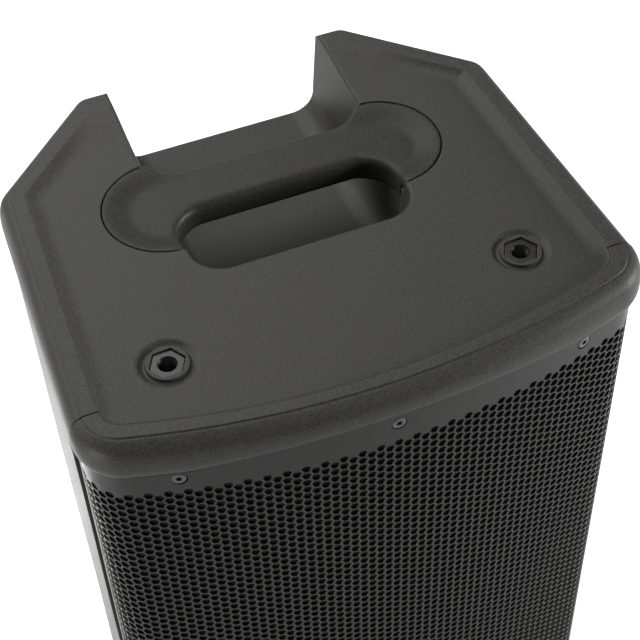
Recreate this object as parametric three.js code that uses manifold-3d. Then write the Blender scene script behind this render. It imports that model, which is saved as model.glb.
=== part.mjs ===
// Portable two-way powered loudspeaker with a moulded cabinet and a top carrying handle.
// Millimetres, +Z up. The origin is on the floor under the middle of the bounding box,
// the grille faces -Y and the amplifier panel faces +Y.

import * as THREE from 'three';
import { mergeVertices } from 'three/addons/utils/BufferGeometryUtils.js';
import Module from 'manifold-3d';

const wasm = await Module();
wasm.setup();

// ---------------------------------------------------------------- driving dimensions

const HEIGHT = 595;            // floor to the rim of the top
const BASE_Z = 6;              // underside of the cabinet, standing on its feet
const SEAM_Y = -99.3;          // where the bezel meets the rear shell on the rim
const FIT = 0.3;               // clearance between touching pieces
const LOOSE = 0.15;            // half of that clearance, on each side of a seam

// plan of the rim: arcs whose normals run from the front centre round to the back centre
const BOW = { x: 0, y: SEAM_Y + 435.3, r: 479 };
const CORNER = { x: 134.6, y: SEAM_Y - 0.3, r: 23.2 };
const BOW_END = Math.atan2(CORNER.y - BOW.y, CORNER.x);
const SIDE_TAPER = THREE.MathUtils.degToRad(2.23);
const CHAMFER_TURN = THREE.MathUtils.degToRad(44.82);
const CHAMFER_CORNER = { x: 150.9, y: SEAM_Y + 177.1, r: 8 };
const TIP_CORNER = { x: 86.1, y: SEAM_Y + 242.3, r: 5 };

// how far the cabinet stands out from the rim, by depth below the rim
const SHELL_PROFILE = [
  [0, 0], [1.2, 2.2], [4, 4.6], [9, 6.8], [20, 8.4], [34, 7.9], [60, 6.9],
  [300, 6.3], [400, 5.2], [570, 6], [584, 4.6], [589, 0],
];
// the bezel's roll, by fraction of the way from the rim to the grille line
const BEZEL_ROLL = [[0, 0], [0.05, 2.4], [0.1, 4.6], [0.2, 6.6], [0.34, 7.9], [0.62, 8.4], [0.86, 7.4], [1, 4.7]];
const GRILLE_LINE = { middle: 19.6, bow: 0.00057, reach: 112 };
const GRILLE_OUT = 4.7;
const GRILLE_IN = 3.2;
const FRAME_OUT = 2.9;

const WALL_IN = 0.5;           // inner face of the cabinet wall, from the rim line
const PANEL_Z = HEIGHT - 4;    // top panel, sunk inside the rim
const PANEL_UNDER = PANEL_Z - 6;
const RIM_WIDTH = 9.3;
const BASE_THICK = 5;
const BAFFLE_FRONT = -112;
const BAFFLE_BACK = -104;

const NOTCH = { half: 71.6, floor: HEIGHT - 64, wall: 4.4 };
const SLOT = { half: 68.4, front: SEAM_Y + 73.7, back: SEAM_Y + 131, corner: 21 };
const BAR = { front: SEAM_Y + 131, back: SEAM_Y + 164.3, top: HEIGHT - 8, under: HEIGHT - 26 };
const EAR = { x: 67.5, y: SEAM_Y + 136.1, r: 38.3, bowl: 4.2, under: HEIGHT - 12.3 };

const INSERT = {
  x: 104.6, y: SEAM_Y + 20.7, flats: 18, bore: 4.3, bossR: 11.9, moatR: 16.3, moatDepth: 1.8,
  pocketFlats: 18.6, flangeR: 15, flangeDepth: 6, flangeThick: 3, length: 24,
};
const REAR_INSERT_Z = 462;

const WOOFER = { z: 176, frameR: 131, cutR: 118.6 };
const HORN = { z: 438, halfX: 122, halfZ: 68, throatR: 12.7, throatY: -38 };
const PORT = { x: 114, z: 329, r: 24, wall: 2, length: 118 };

const AMP = { halfX: 75.6, low: 68.4, high: 411.6, back: 140.3, thick: 3 };
const DISPLAY = { x: 0, z: 372, halfX: 28, halfZ: 19 };
const ENCODER = { x: -50, z: 372, r: 9.5 };
const GAIN = { x: 30, z: 318, r: 7 };
const COMBO = { x: 30, z: 278 };
const LINE_OUT = { x: 0, z: 224 };
const INLET = { x: 24, z: 106 };
const SWITCH = { x: -34, z: 106 };
const ROCKER_TILT = THREE.MathUtils.degToRad(9);

const FEET = [[-134, -84], [134, -84], [-74, 112], [74, 112]];
const POLE = { y: -14, bore: 17.9, outer: 21.5, top: 92 };

// ---------------------------------------------------------------- solids

// Turns a closed three.js geometry into a manifold solid with its faces pointing out.
function solid(geometry) {
  const bare = geometry.clone();
  bare.deleteAttribute('normal');
  bare.deleteAttribute('uv');
  const merged = mergeVertices(bare, 1e-4);
  const points = merged.attributes.position.array;
  const kept = [];
  let volume = 0;
  for (let i = 0; i < merged.index.count; i += 3) {
    const [a, b, c] = [0, 1, 2].map((k) => merged.index.array[i + k]);
    if (a === b || b === c || c === a) continue;
    kept.push(a, b, c);
    const [p, q, r] = [a, b, c].map((v) => new THREE.Vector3().fromArray(points, 3 * v));
    volume += p.dot(q.cross(r));
  }
  if (volume < 0) kept.reverse();
  const triVerts = new Uint32Array(kept);
  const vertProperties = new Float32Array(points);
  return new wasm.Manifold(new wasm.Mesh({ numProp: 3, vertProperties, triVerts }));
}

// Turns a manifold solid back into a geometry.
function toGeometry(body) {
  const mesh = body.getMesh();
  const geometry = new THREE.BufferGeometry();
  geometry.setAttribute('position', new THREE.BufferAttribute(mesh.vertProperties, 3));
  geometry.setIndex(new THREE.BufferAttribute(mesh.triVerts, 1));
  geometry.computeVertexNormals();
  return geometry;
}

function join(first, ...others) {
  return others.reduce((body, other) => body.add(other), first);
}

function cut(first, ...others) {
  return others.reduce((body, other) => body.subtract(other), first);
}

function box(x0, x1, y0, y1, z0, z1) {
  const geometry = new THREE.BoxGeometry(x1 - x0, y1 - y0, z1 - z0);
  return solid(geometry.translate((x0 + x1) / 2, (y0 + y1) / 2, (z0 + z1) / 2));
}

function extrude(shape, length, curveSegments = 3) {
  return new THREE.ExtrudeGeometry(shape, { depth: length, bevelEnabled: false, curveSegments });
}

// A shape drawn in X and Y, standing from z0 to z1.
function prismZ(shape, z0, z1) {
  return solid(extrude(shape, z1 - z0).translate(0, 0, z0));
}

// A shape drawn in X and Z, running from y0 to y1.
function prismY(shape, y0, y1) {
  return solid(extrude(shape, y1 - y0).rotateX(Math.PI / 2).translate(0, y1, 0));
}

// A shape drawn in Y and Z, running from x0 to x1.
function prismX(shape, x0, x1) {
  const turn = new THREE.Matrix4().makeBasis(
    new THREE.Vector3(0, 1, 0), new THREE.Vector3(0, 0, 1), new THREE.Vector3(1, 0, 0));
  return solid(extrude(shape, x1 - x0).applyMatrix4(turn).translate(x0, 0, 0));
}

function polygon(points) {
  return new THREE.Shape(points.map(([x, y]) => new THREE.Vector2(x, y)));
}

function roundedRect(cx, cy, halfX, halfY, r) {
  const shape = new THREE.Shape();
  shape.absarc(cx + halfX - r, cy + halfY - r, r, 0, Math.PI / 2);
  shape.absarc(cx - halfX + r, cy + halfY - r, r, Math.PI / 2, Math.PI);
  shape.absarc(cx - halfX + r, cy - halfY + r, r, Math.PI, 1.5 * Math.PI);
  shape.absarc(cx + halfX - r, cy - halfY + r, r, 1.5 * Math.PI, 2 * Math.PI);
  return shape;
}

// A round piece about an axis along Y: profile points are [radius, y].
function turnedY(profile, x, z, segments = 16) {
  const points = profile.map(([r, y]) => new THREE.Vector2(r, y));
  return solid(new THREE.LatheGeometry(points, segments).translate(x, 0, z));
}

// A round piece about an axis along Z: profile points are [radius, z].
function turnedZ(profile, x, y, segments = 16) {
  const points = profile.map(([r, z]) => new THREE.Vector2(r, z));
  const geometry = new THREE.LatheGeometry(points, segments);
  return solid(geometry.rotateX(Math.PI / 2).translate(x, y, 0));
}

function discY(r, y0, y1, x, z, segments = 12) {
  return turnedY([[0, y0], [r, y0], [r, y1], [0, y1]], x, z, segments);
}

function discZ(r, z0, z1, x, y, segments = 12) {
  return turnedZ([[0, z0], [r, z0], [r, z1], [0, z1]], x, y, segments);
}

function ringY(inner, outer, y0, y1, x, z, segments = 18) {
  return turnedY([[inner, y0], [outer, y0], [outer, y1], [inner, y1], [inner, y0]], x, z, segments);
}

// A closed body through rings of points that all have the same count.
function loft(rings) {
  const count = rings[0].length;
  const positions = rings.flat().flat();
  const index = [];
  for (let k = 0; k + 1 < rings.length; k += 1) {
    for (let i = 0; i < count; i += 1) {
      const j = (i + 1) % count;
      const [a, b] = [k * count + i, k * count + j];
      index.push(a, b, b + count, a, b + count, a + count);
    }
  }
  const last = (rings.length - 1) * count;
  const flat = (ring) => ring.map(([x, y]) => new THREE.Vector2(x, y));
  for (const [a, b, c] of THREE.ShapeUtils.triangulateShape(flat(rings[0]), [])) index.push(a, c, b);
  for (const [a, b, c] of THREE.ShapeUtils.triangulateShape(flat(rings.at(-1)), [])) {
    index.push(last + a, last + b, last + c);
  }
  const geometry = new THREE.BufferGeometry();
  geometry.setAttribute('position', new THREE.Float32BufferAttribute(positions, 3));
  geometry.setIndex(index);
  return solid(geometry);
}

// ---------------------------------------------------------------- plan of the cabinet

const direction = (angle) => [Math.cos(angle), Math.sin(angle)];

// The centre of the arc of radius r that rounds the corner between two walls moved out by offset.
function cornerCentre(corner, angleA, angleB, offset, r) {
  const [ax, ay] = direction(angleA);
  const [bx, by] = direction(angleB);
  const reachA = ax * corner.x + ay * corner.y + offset - r;
  const reachB = bx * corner.x + by * corner.y + offset - r;
  const det = ax * by - ay * bx;
  return { x: (reachA * by - reachB * ay) / det, y: (ax * reachB - bx * reachA) / det };
}

const PLAN_ARCS = [
  { centre: BOW, r: BOW.r, from: -Math.PI / 2, to: BOW_END, steps: 4 },
  { centre: CORNER, r: CORNER.r, from: BOW_END, to: SIDE_TAPER, steps: 4 },
  { corner: CHAMFER_CORNER, r: CHAMFER_CORNER.r, from: SIDE_TAPER, to: CHAMFER_TURN, steps: 2 },
  { corner: TIP_CORNER, r: TIP_CORNER.r, from: CHAMFER_TURN, to: Math.PI / 2, steps: 2 },
];

// The rim outline moved outwards by offset, as a closed list of [x, y].
function planOutline(offset) {
  const right = [];
  for (const { centre, corner, r, from, to, steps } of PLAN_ARCS) {
    const radius = Math.max(r + offset, 0.5);
    const { x, y } = centre ?? cornerCentre(corner, from, to, offset, radius);
    for (let i = 0; i <= steps; i += 1) {
      const [dx, dy] = direction(from + (to - from) * i / steps);
      right.push([x + dx * radius, y + dy * radius]);
    }
  }
  const apart = ([x, y], i) => i === 0 || Math.hypot(x - right[i - 1][0], y - right[i - 1][1]) > 0.05;
  const kept = right.filter(apart);
  const left = kept.slice(1).reverse().map(([x, y]) => [-x, y]);
  return [...kept, ...left];
}

function planRing(offset, heightAt) {
  return planOutline(offset).map(([x, y]) => [x, y, heightAt(x)]);
}

function planPrism(offset, z0, z1) {
  return prismZ(polygon(planOutline(offset)), z0, z1);
}

// Depth of the line between the bezel and the grille, below the rim or above the base.
const grilleDepth = (x) => {
  const across = Math.min(Math.abs(x), GRILLE_LINE.reach);
  return GRILLE_LINE.middle + GRILLE_LINE.bow * across * across;
};
const grilleTop = (x) => HEIGHT - grilleDepth(x);
const grilleLow = (x) => BASE_Z + grilleDepth(x);

// Everything in front of the seam, which steps back down the side of the cabinet.
function aheadOfSeam(shift) {
  const bends = [[0, -30], [0, 14], [3, 22], [10, 32], [18, 40], [22, 52]];
  const upper = bends.map(([back, depth]) => [SEAM_Y + back + shift, HEIGHT - depth]);
  const lower = bends.map(([back, depth]) => [SEAM_Y + back + shift, BASE_Z + depth]).reverse();
  return prismX(polygon([[-200, -60], [-200, HEIGHT + 30], ...upper, ...lower]), -200, 200);
}

// ---------------------------------------------------------------- housing

function earPositions() {
  return [-EAR.x, EAR.x];
}

// The finger slot in front of the bar and the notch behind it, down to a floor.
function handleWell(grow, floor) {
  const slotBack = SLOT.back + 30;
  const plan = roundedRect(0, (SLOT.front + slotBack) / 2, SLOT.half + grow,
    (slotBack - SLOT.front) / 2 + grow, SLOT.corner + grow);
  const slot = prismZ(plan, floor, HEIGHT + 20);
  const notch = box(-NOTCH.half - grow, NOTCH.half + grow, BAR.front - FIT, 190, floor, HEIGHT + 20);
  return join(slot, notch);
}

function hexagon(x, y, flats) {
  const r = flats / Math.sqrt(3);
  const points = [0, 1, 2, 3, 4, 5].map((i) => {
    const [dx, dy] = direction(i * Math.PI / 3);
    return [x + r * dx, y + r * dy];
  });
  return polygon(points);
}

function rearCabinet() {
  const rings = SHELL_PROFILE.map(([depth, offset]) => planRing(offset, () => HEIGHT - depth));
  let shell = cut(loft(rings.reverse()), aheadOfSeam(LOOSE));
  const tongue = cut(planPrism(-RIM_WIDTH + 0.7, PANEL_UNDER, PANEL_Z), box(-200, 200, SEAM_Y + 4, 200, 0, 700));
  shell = join(shell, tongue);
  const hollow = cut(
    planPrism(WALL_IN, BASE_Z + BASE_THICK, PANEL_UNDER),
    handleWell(NOTCH.wall, NOTCH.floor - NOTCH.wall),
    ...earPositions().map((x) => discZ(EAR.r + 3.6, HEIGHT - 17, HEIGHT, x, EAR.y, 20)),
  );
  const frame = box(-AMP.halfX - 7, AMP.halfX + 7, 127, 147, AMP.low - 7, AMP.high + 7);
  shell = join(cut(shell, hollow), frame);
  shell = cut(
    shell,
    planPrism(-RIM_WIDTH, PANEL_Z, HEIGHT + 5),
    handleWell(0, NOTCH.floor),
    ...earPositions().map((x) => discZ(EAR.r, EAR.under - FIT, HEIGHT + 5, x, EAR.y, 20)),
    box(-AMP.halfX - 0.4, AMP.halfX + 0.4, AMP.back - AMP.thick - FIT, 200, AMP.low - 0.4, AMP.high + 0.4),
    box(-AMP.halfX + 9, AMP.halfX - 9, 100, 160, AMP.low + 9, AMP.high - 9),
    discZ(POLE.outer + 0.5, 0, 20, 0, POLE.y, 20),
    prismY(hexagon(0, REAR_INSERT_Z, INSERT.pocketFlats), 130, 170),
  );
  for (const x of [-INSERT.x, INSERT.x]) {
    const moat = cut(
      discZ(INSERT.moatR, PANEL_Z - INSERT.moatDepth, HEIGHT, x, INSERT.y, 16),
      discZ(INSERT.bossR, 0, HEIGHT, x, INSERT.y, 16),
    );
    const hex = prismZ(hexagon(x, INSERT.y, INSERT.pocketFlats), PANEL_UNDER - 5, HEIGHT);
    const lowHex = prismZ(hexagon(x, INSERT.y, INSERT.pocketFlats), 0, 20);
    shell = cut(shell, moat, hex, lowHex);
  }
  for (const [x, y] of FEET) shell = cut(shell, discZ(11.4, 0, 8, x, y, 12), discZ(3.5, 0, 20, x, y, 8));
  return shell;
}

function frontBaffle() {
  const top = BEZEL_ROLL.map(([part, offset]) => planRing(offset, (x) => HEIGHT - part * grilleDepth(x)));
  const low = BEZEL_ROLL.map(([part, offset]) => planRing(offset, (x) => BASE_Z + part * grilleDepth(x)));
  const body = loft([...low, planRing(FRAME_OUT, grilleLow), planRing(FRAME_OUT, grilleTop), ...top.reverse()]);
  const inside = planPrism(-4, BASE_Z + BASE_THICK, PANEL_UNDER - FIT);
  const hollow = cut(inside, box(-200, 200, -200, BAFFLE_BACK, 0, 700));
  let baffle = cut(
    body.intersect(aheadOfSeam(-LOOSE)),
    hollow,
    box(-200, 200, -200, BAFFLE_FRONT, BASE_Z + 37, HEIGHT - 37),
    planPrism(-RIM_WIDTH + 1, PANEL_UNDER - FIT, HEIGHT + 5),
    discY(WOOFER.cutR, -140, -100, 0, WOOFER.z, 24),
    prismY(roundedRect(0, HORN.z, HORN.halfX - 9, HORN.halfZ - 9, 16), -140, -100),
  );
  for (const x of [-PORT.x, PORT.x]) {
    baffle = cut(baffle, discY(PORT.r + PORT.wall + 0.5, -140, -100, x, PORT.z, 20));
  }
  return cut(baffle, ...grilleScrewHoles());
}

const GRILLE_SCREWS = [
  ['top_centre', 0, HEIGHT - 28], ['top_left', -119, HEIGHT - 32.5], ['top_right', 119, HEIGHT - 32.5],
  ['bottom_centre', 0, BASE_Z + 28], ['bottom_left', -119, BASE_Z + 32.5], ['bottom_right', 119, BASE_Z + 32.5],
];

// Y of the front bow at x, on the outline moved out by offset.
function bowY(x, offset) {
  const r = BOW.r + offset;
  return BOW.y - Math.sqrt(r * r - x * x);
}

// A solid of revolution about the bow's normal at x, from profile points [radius, depth inwards].
function alongBowNormal(profile, x, z, segments = 8) {
  const points = profile.map(([r, depth]) => new THREE.Vector2(r, depth));
  const geometry = new THREE.LatheGeometry(points, segments);
  geometry.rotateZ(Math.asin(x / (BOW.r + GRILLE_OUT)));
  return solid(geometry.translate(x, bowY(x, GRILLE_OUT), z));
}

function grilleScrewHoles() {
  return GRILLE_SCREWS.map(([, x, z]) => alongBowNormal([[0, -3], [2.2, -3], [2.2, 14], [0, 14]], x, z));
}

function grilleScrew(x, z) {
  const profile = [[0, 0.7], [1.6, 0.7], [1.6, -0.3], [4.2, -0.3], [1.95, 1.9], [1.95, 12], [0, 12]];
  return alongBowNormal(profile, x, z);
}

function grille() {
  const gap = (height, shift) => (x) => height(x) + shift;
  const low = gap(grilleLow, 0.5);
  const high = gap(grilleTop, -0.5);
  const outer = loft([planRing(0, low), planRing(GRILLE_OUT, low), planRing(GRILLE_OUT, high), planRing(0, high)]);
  const inner = loft([planRing(GRILLE_IN, gap(grilleLow, -9)), planRing(GRILLE_IN, gap(grilleTop, 9))]);
  const sheet = cut(outer, inner).intersect(aheadOfSeam(-1));
  const holes = GRILLE_SCREWS.map(([, x, z]) =>
    alongBowNormal([[0, -2], [4.6, -2], [4.6, 0.3], [2.6, 1.9], [2.6, 4], [0, 4]], x, z));
  return cut(sheet, ...holes);
}

function grilleCloth() {
  const high = HEIGHT - 37.6;
  const low = BASE_Z + 37.6;
  const band = cut(planPrism(FRAME_OUT, low, high), planPrism(FRAME_OUT - 3, low - 5, high + 5));
  return cut(band, box(-200, 200, BAFFLE_FRONT - 0.4, 200, 0, 700));
}

function handleGrip() {
  const bar = prismX(barSection(), -NOTCH.half + FIT, NOTCH.half - FIT);
  const ears = earPositions().map((x) => {
    const profile = [
      [0, EAR.under], [EAR.r - 0.6, EAR.under], [EAR.r - 0.6, PANEL_Z], [EAR.r - 2, PANEL_Z],
      [EAR.r - 7, PANEL_Z - 2.2], [EAR.r - 15, PANEL_Z - EAR.bowl + 0.5], [0, PANEL_Z - EAR.bowl],
    ];
    return turnedZ(profile, x, EAR.y, 20);
  });
  const reach = box(-NOTCH.half - 18, NOTCH.half + 18, BAR.front + 6, BAR.back - 4, EAR.under, BAR.top - 1);
  const slot = prismZ(roundedRect(0, (SLOT.front + SLOT.back) / 2, SLOT.half, (SLOT.back - SLOT.front) / 2,
    SLOT.corner), HEIGHT - 60, HEIGHT + 5);
  const behind = box(-50, 50, BAR.back, 190, HEIGHT - 60, HEIGHT + 5);
  return cut(join(bar, ...ears, reach), slot, behind);
}

// The bar's section in Y and Z: broad rounding at the front, a tighter one at the back.
function barSection() {
  const shape = new THREE.Shape();
  shape.absarc(BAR.front + 8.8, BAR.top - 8.8, 8.8, Math.PI, Math.PI / 2, true);
  shape.absarc(BAR.back - 2, BAR.top - 2, 2, Math.PI / 2, 0, true);
  shape.absarc(BAR.back - 7, BAR.under + 7, 7, 0, -Math.PI / 2, true);
  shape.absarc(BAR.front + 8.8, BAR.under + 8.8, 8.8, -Math.PI / 2, -Math.PI, true);
  return shape;
}

// A hexagonal threaded insert with a flange behind the wall; top is its outer face.
function threadedInsertZ(x, y, faceZ, inward) {
  const back = faceZ + inward * INSERT.length;
  const flange = faceZ + inward * INSERT.flangeDepth;
  const span = (a, b) => [Math.min(a, b), Math.max(a, b)];
  const body = prismZ(hexagon(x, y, INSERT.flats), ...span(faceZ, back));
  const plate = discZ(INSERT.flangeR, ...span(flange, flange + inward * INSERT.flangeThick), x, y, 16);
  return cut(join(body, plate), discZ(INSERT.bore, 0, HEIGHT + 5, x, y, 12));
}

function rearInsert() {
  const body = prismY(hexagon(0, REAR_INSERT_Z, INSERT.flats), 122, 149);
  const plate = discY(INSERT.flangeR, 139.8, 143, 0, REAR_INSERT_Z, 16);
  return cut(join(body, plate), discY(INSERT.bore, 126, 160, 0, REAR_INSERT_Z, 12));
}

function rubberFoot(x, y) {
  return turnedZ([[0, 0], [9, 0], [11, 1.5], [11, 7.7], [3, 7.7], [3, 12.5], [4.4, 12.5], [0, 16]], x, y, 12);
}

function poleSocket() {
  const { bore, outer, top } = POLE;
  const z = BASE_Z + BASE_THICK + FIT;
  return turnedZ([
    [bore, BASE_Z + 0.5], [outer, BASE_Z + 0.5], [outer, z], [32, z], [32, z + 3], [outer, z + 3],
    [outer, top], [0, top], [0, top - 4], [bore, top - 4], [bore, BASE_Z + 0.5],
  ], 0, POLE.y, 20);
}

// ---------------------------------------------------------------- woofer

const turnedWoofer = (profile, segments = 18) => turnedY(profile, 0, WOOFER.z, segments);

function wooferBasket() {
  const f = BAFFLE_FRONT - FIT;
  const body = turnedWoofer([
    [112, f - 6], [WOOFER.frameR, f - 6], [WOOFER.frameR, f], [WOOFER.cutR - 1, f], [WOOFER.cutR - 1, f + 3],
    [108, f + 12], [84, f + 62], [66, f + 66], [56, f + 66], [56, f + 63], [64, f + 62], [80, f + 56],
    [104, f + 10], [112, f - 2], [112, f - 6],
  ]);
  const windows = [];
  for (let i = 0; i < 6; i += 1) {
    const angle = (i + 0.5) * Math.PI / 3;
    const opening = new THREE.BoxGeometry(50, 30, 60).translate(100, f + 36, 0).rotateY(angle);
    windows.push(solid(opening.translate(0, 0, WOOFER.z)));
  }
  return cut(body, ...windows);
}

function wooferFrontPlate() {
  const y = BAFFLE_FRONT + 66;
  return ringY(26.6, 64, y, y + 8, 0, WOOFER.z);
}

function wooferMagnet() {
  const y = BAFFLE_FRONT + 74.3;
  return ringY(32, 74, y, y + 20, 0, WOOFER.z);
}

function wooferBackPlate() {
  const y = BAFFLE_FRONT + 94.6;
  const pole = y - 28;
  return turnedWoofer([
    [7, y + 10], [7, pole], [24.2, pole], [24.2, y], [64, y], [64, y + 8], [60, y + 10], [7, y + 10],
  ]);
}

function wooferCone() {
  const f = BAFFLE_FRONT;
  return turnedWoofer([
    [99, f - 1.6], [99, f - 0.2], [60, f + 24], [26.6, f + 37], [26.6, f + 35], [58, f + 22], [95, f - 1.6],
    [99, f - 1.6],
  ]);
}

function wooferDustCap() {
  const f = BAFFLE_FRONT;
  return turnedWoofer([
    [0, f + 12], [18, f + 14.6], [34, f + 21.6], [41, f + 27], [41, f + 28.2], [34, f + 23.4],
    [18, f + 16.4], [0, f + 13.6],
  ]);
}

function voiceCoil() {
  const f = BAFFLE_FRONT;
  return ringY(25, 26.2, f + 37.4, f + 80, 0, WOOFER.z);
}

// A half roll whose outer lip is glued to the frame and whose inner lip is glued to the cone.
function wooferSurround() {
  const f = BAFFLE_FRONT;
  const front = [
    [118, f - 7.8], [111, f - 7.8], [109, f - 11], [105.5, f - 12.6], [102, f - 10.8], [100, f - 5.6],
    [95.4, f - 3.2],
  ];
  const back = [
    [95.4, f - 2], [101, f - 4], [103.2, f - 9.6], [105.5, f - 11.2], [107.8, f - 9.8], [110, f - 6.6],
    [118, f - 6.6],
  ];
  return turnedWoofer([...front, ...back, front[0]]);
}

// A corrugated disc between the coil former and the basket.
function wooferSpider() {
  const y = BAFFLE_FRONT + 50;
  const wave = [];
  for (let i = 0; i <= 4; i += 1) wave.push([27 + i * 9.6, y + (i % 2 ? 2 : -2)]);
  const front = wave.map(([r, h]) => [r, h - 0.5]);
  const back = wave.map(([r, h]) => [r, h + 0.5]).reverse();
  return turnedWoofer([...front, ...back, front[0]]);
}

// ---------------------------------------------------------------- horn and compression driver

const HORN_POINTS = 16;

// A rounded rectangle that turns into a circle of radius r as blend runs from 0 to 1.
function hornRing(halfX, halfZ, r, blend, y) {
  const points = [];
  for (let i = 0; i < HORN_POINTS; i += 1) {
    const [c, s] = direction(i * 2 * Math.PI / HORN_POINTS);
    const power = 0.42;
    const square = [Math.sign(c) * Math.abs(c) ** power * halfX, Math.sign(s) * Math.abs(s) ** power * halfZ];
    const x = square[0] * (1 - blend) + c * r * blend;
    const z = square[1] * (1 - blend) + s * r * blend;
    points.push([x, z, y]);
  }
  return points;
}

// Rings drawn in X and Z at a depth y become one solid along Y.
function hornLoft(rings) {
  const body = loft(rings.map((ring) => ring.map(([x, z, y]) => [x, z, -y])));
  const geometry = toGeometry(body).rotateX(Math.PI / 2);
  return solid(geometry.translate(0, 0, HORN.z));
}

function hornBody(grow, front, back) {
  const { halfX, halfZ, throatR, throatY } = HORN;
  const mouthX = halfX - 12;
  const mouthZ = halfZ - 12;
  const stations = [[0, 0, 1], [0.2, 0.12, 0.86], [0.5, 0.4, 0.56], [0.8, 0.78, 0.28], [1, 1, 0]];
  const depth = throatY - BAFFLE_FRONT;
  const rings = stations.map(([part, blend, size]) => {
    const y = BAFFLE_FRONT + depth * part;
    const x = throatR + (mouthX - throatR) * size + grow;
    const z = throatR + (mouthZ - throatR) * size + grow;
    return hornRing(x, z, throatR + (mouthZ - throatR) * size + grow, blend, y);
  });
  const first = rings[0].map(([x, z]) => [x, z, front]);
  const last = rings.at(-1).map(([x, z]) => [x, z, back]);
  return hornLoft([first, ...rings, last]);
}

function waveguide() {
  const flange = prismY(roundedRect(0, HORN.z, HORN.halfX, HORN.halfZ, 18), BAFFLE_FRONT - 4, BAFFLE_FRONT - FIT);
  const neck = discY(22, HORN.throatY - 6, HORN.throatY, 0, HORN.z, 20);
  const outer = hornBody(3, BAFFLE_FRONT - 1, HORN.throatY + 0.01).intersect(
    box(-200, 200, BAFFLE_FRONT - 2, HORN.throatY, 0, 700));
  return cut(join(flange, outer, neck), hornBody(0, BAFFLE_FRONT - 8, HORN.throatY + 6));
}

function driverBody() {
  const y = HORN.throatY + FIT;
  return turnedY([
    [12.7, y], [22, y], [22, y + 4], [43, y + 4], [43, y + 26], [12.7, y + 26], [12.7, y],
  ], 0, HORN.z);
}

function driverDiaphragm() {
  const y = HORN.throatY + 26.9;
  return turnedY([
    [0, y + 1], [10, y + 2.2], [20, y + 6], [22, y + 6], [36, y + 6], [36, y + 7], [20, y + 7.2],
    [10, y + 3.6], [0, y + 2.4],
  ], 0, HORN.z);
}

function driverCover() {
  const y = HORN.throatY + 26 + 2 * FIT;
  return turnedY([
    [38, y], [43, y], [43, y + 16], [40, y + 20], [0, y + 20], [0, y + 16], [37, y + 16], [38, y + 14], [38, y],
  ], 0, HORN.z);
}

function portTube(x) {
  const { r, wall, length, z } = PORT;
  const y = BAFFLE_FRONT - FIT;
  const flare = [[r + 7, y - 2], [r + wall + 4, y]];
  return turnedY([
    flare[0], flare[1], [r + wall, y], [r + wall, y + length], [r, y + length], [r, y + 8], [r + 2.4, y + 1.6],
    [r + 6, y - 2.6], flare[0],
  ], x, z);
}

// ---------------------------------------------------------------- amplifier module

const PLATE_FRONT = AMP.back - AMP.thick;

function slotZ(cx, cz, halfX, halfZ, r = 0.6) {
  return prismY(roundedRect(cx, cz, halfX, halfZ, r), 120, 160);
}

function amplifierPanel() {
  const plate = prismY(
    roundedRect(0, (AMP.low + AMP.high) / 2, AMP.halfX, (AMP.high - AMP.low) / 2, 2), PLATE_FRONT, AMP.back);
  const round = (x, z, r) => discY(r, 120, 160, x, z);
  return cut(
    plate,
    slotZ(DISPLAY.x, DISPLAY.z, DISPLAY.halfX + 0.4, DISPLAY.halfZ + 0.4),
    round(ENCODER.x, ENCODER.z, 3.6),
    round(GAIN.x, GAIN.z, 3.4),
    round(-GAIN.x, GAIN.z, 3.4),
    round(COMBO.x, COMBO.z, 12.6),
    round(-COMBO.x, COMBO.z, 12.6),
    round(LINE_OUT.x, LINE_OUT.z, 12.6),
    slotZ(INLET.x, INLET.z, 14.4, 10.4),
    slotZ(SWITCH.x, SWITCH.z, 8.4, 12.4),
  );
}

function displayWindow() {
  return prismY(
    roundedRect(DISPLAY.x, DISPLAY.z, DISPLAY.halfX, DISPLAY.halfZ, 1.5), AMP.back - 2, AMP.back + 0.2);
}

function displayModule() {
  const { x, z, halfX, halfZ } = DISPLAY;
  return box(x - halfX - 3, x + halfX + 3, PLATE_FRONT - 6.3, PLATE_FRONT - 0.3, z - halfZ - 3, z + halfZ + 3);
}

// A knob skirt with a pointer groove, on its own shaft through the panel.
function gainKnob(x) {
  const y = AMP.back + 0.4;
  const body = turnedY([
    [0, y + 8.6], [5.2, y + 8.6], [6, y + 7.8], [6.4, y + 1.4], [GAIN.r, y], [2.9, y], [2.9, y - 12], [0, y - 12],
  ], x, GAIN.z, 16);
  return cut(body, box(x - 0.6, x + 0.6, y + 8, y + 12, GAIN.z + 1, GAIN.z + 8));
}

function encoderPlunger() {
  const y = AMP.back + 4;
  return discY(3, y - 22, y, ENCODER.x, ENCODER.z, 12);
}

function encoderKnob() {
  const y = AMP.back + 1.4;
  return turnedY([
    [0, y + 8], [ENCODER.r - 1.2, y + 8], [ENCODER.r, y + 6.8], [ENCODER.r, y + 0.6], [ENCODER.r - 0.6, y],
    [3.3, y], [3.3, y + 3], [0, y + 3],
  ], ENCODER.x, ENCODER.z, 20);
}

function encoderBody() {
  const { x, z } = ENCODER;
  const block = box(x - 7, x + 7, PLATE_FRONT - 8, PLATE_FRONT - 0.3, z - 7, z + 7);
  return cut(block, discY(3.6, 100, 160, x, z, 12));
}

// A square-flanged audio socket; its mouth faces +Y.
function socketShell(cx, cz) {
  const flange = prismY(roundedRect(cx, cz, 13, 15.5, 3), AMP.back + FIT, AMP.back + FIT + 2.4);
  return join(flange, discY(11.8, 114, AMP.back + 2, cx, cz, 16));
}

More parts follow.
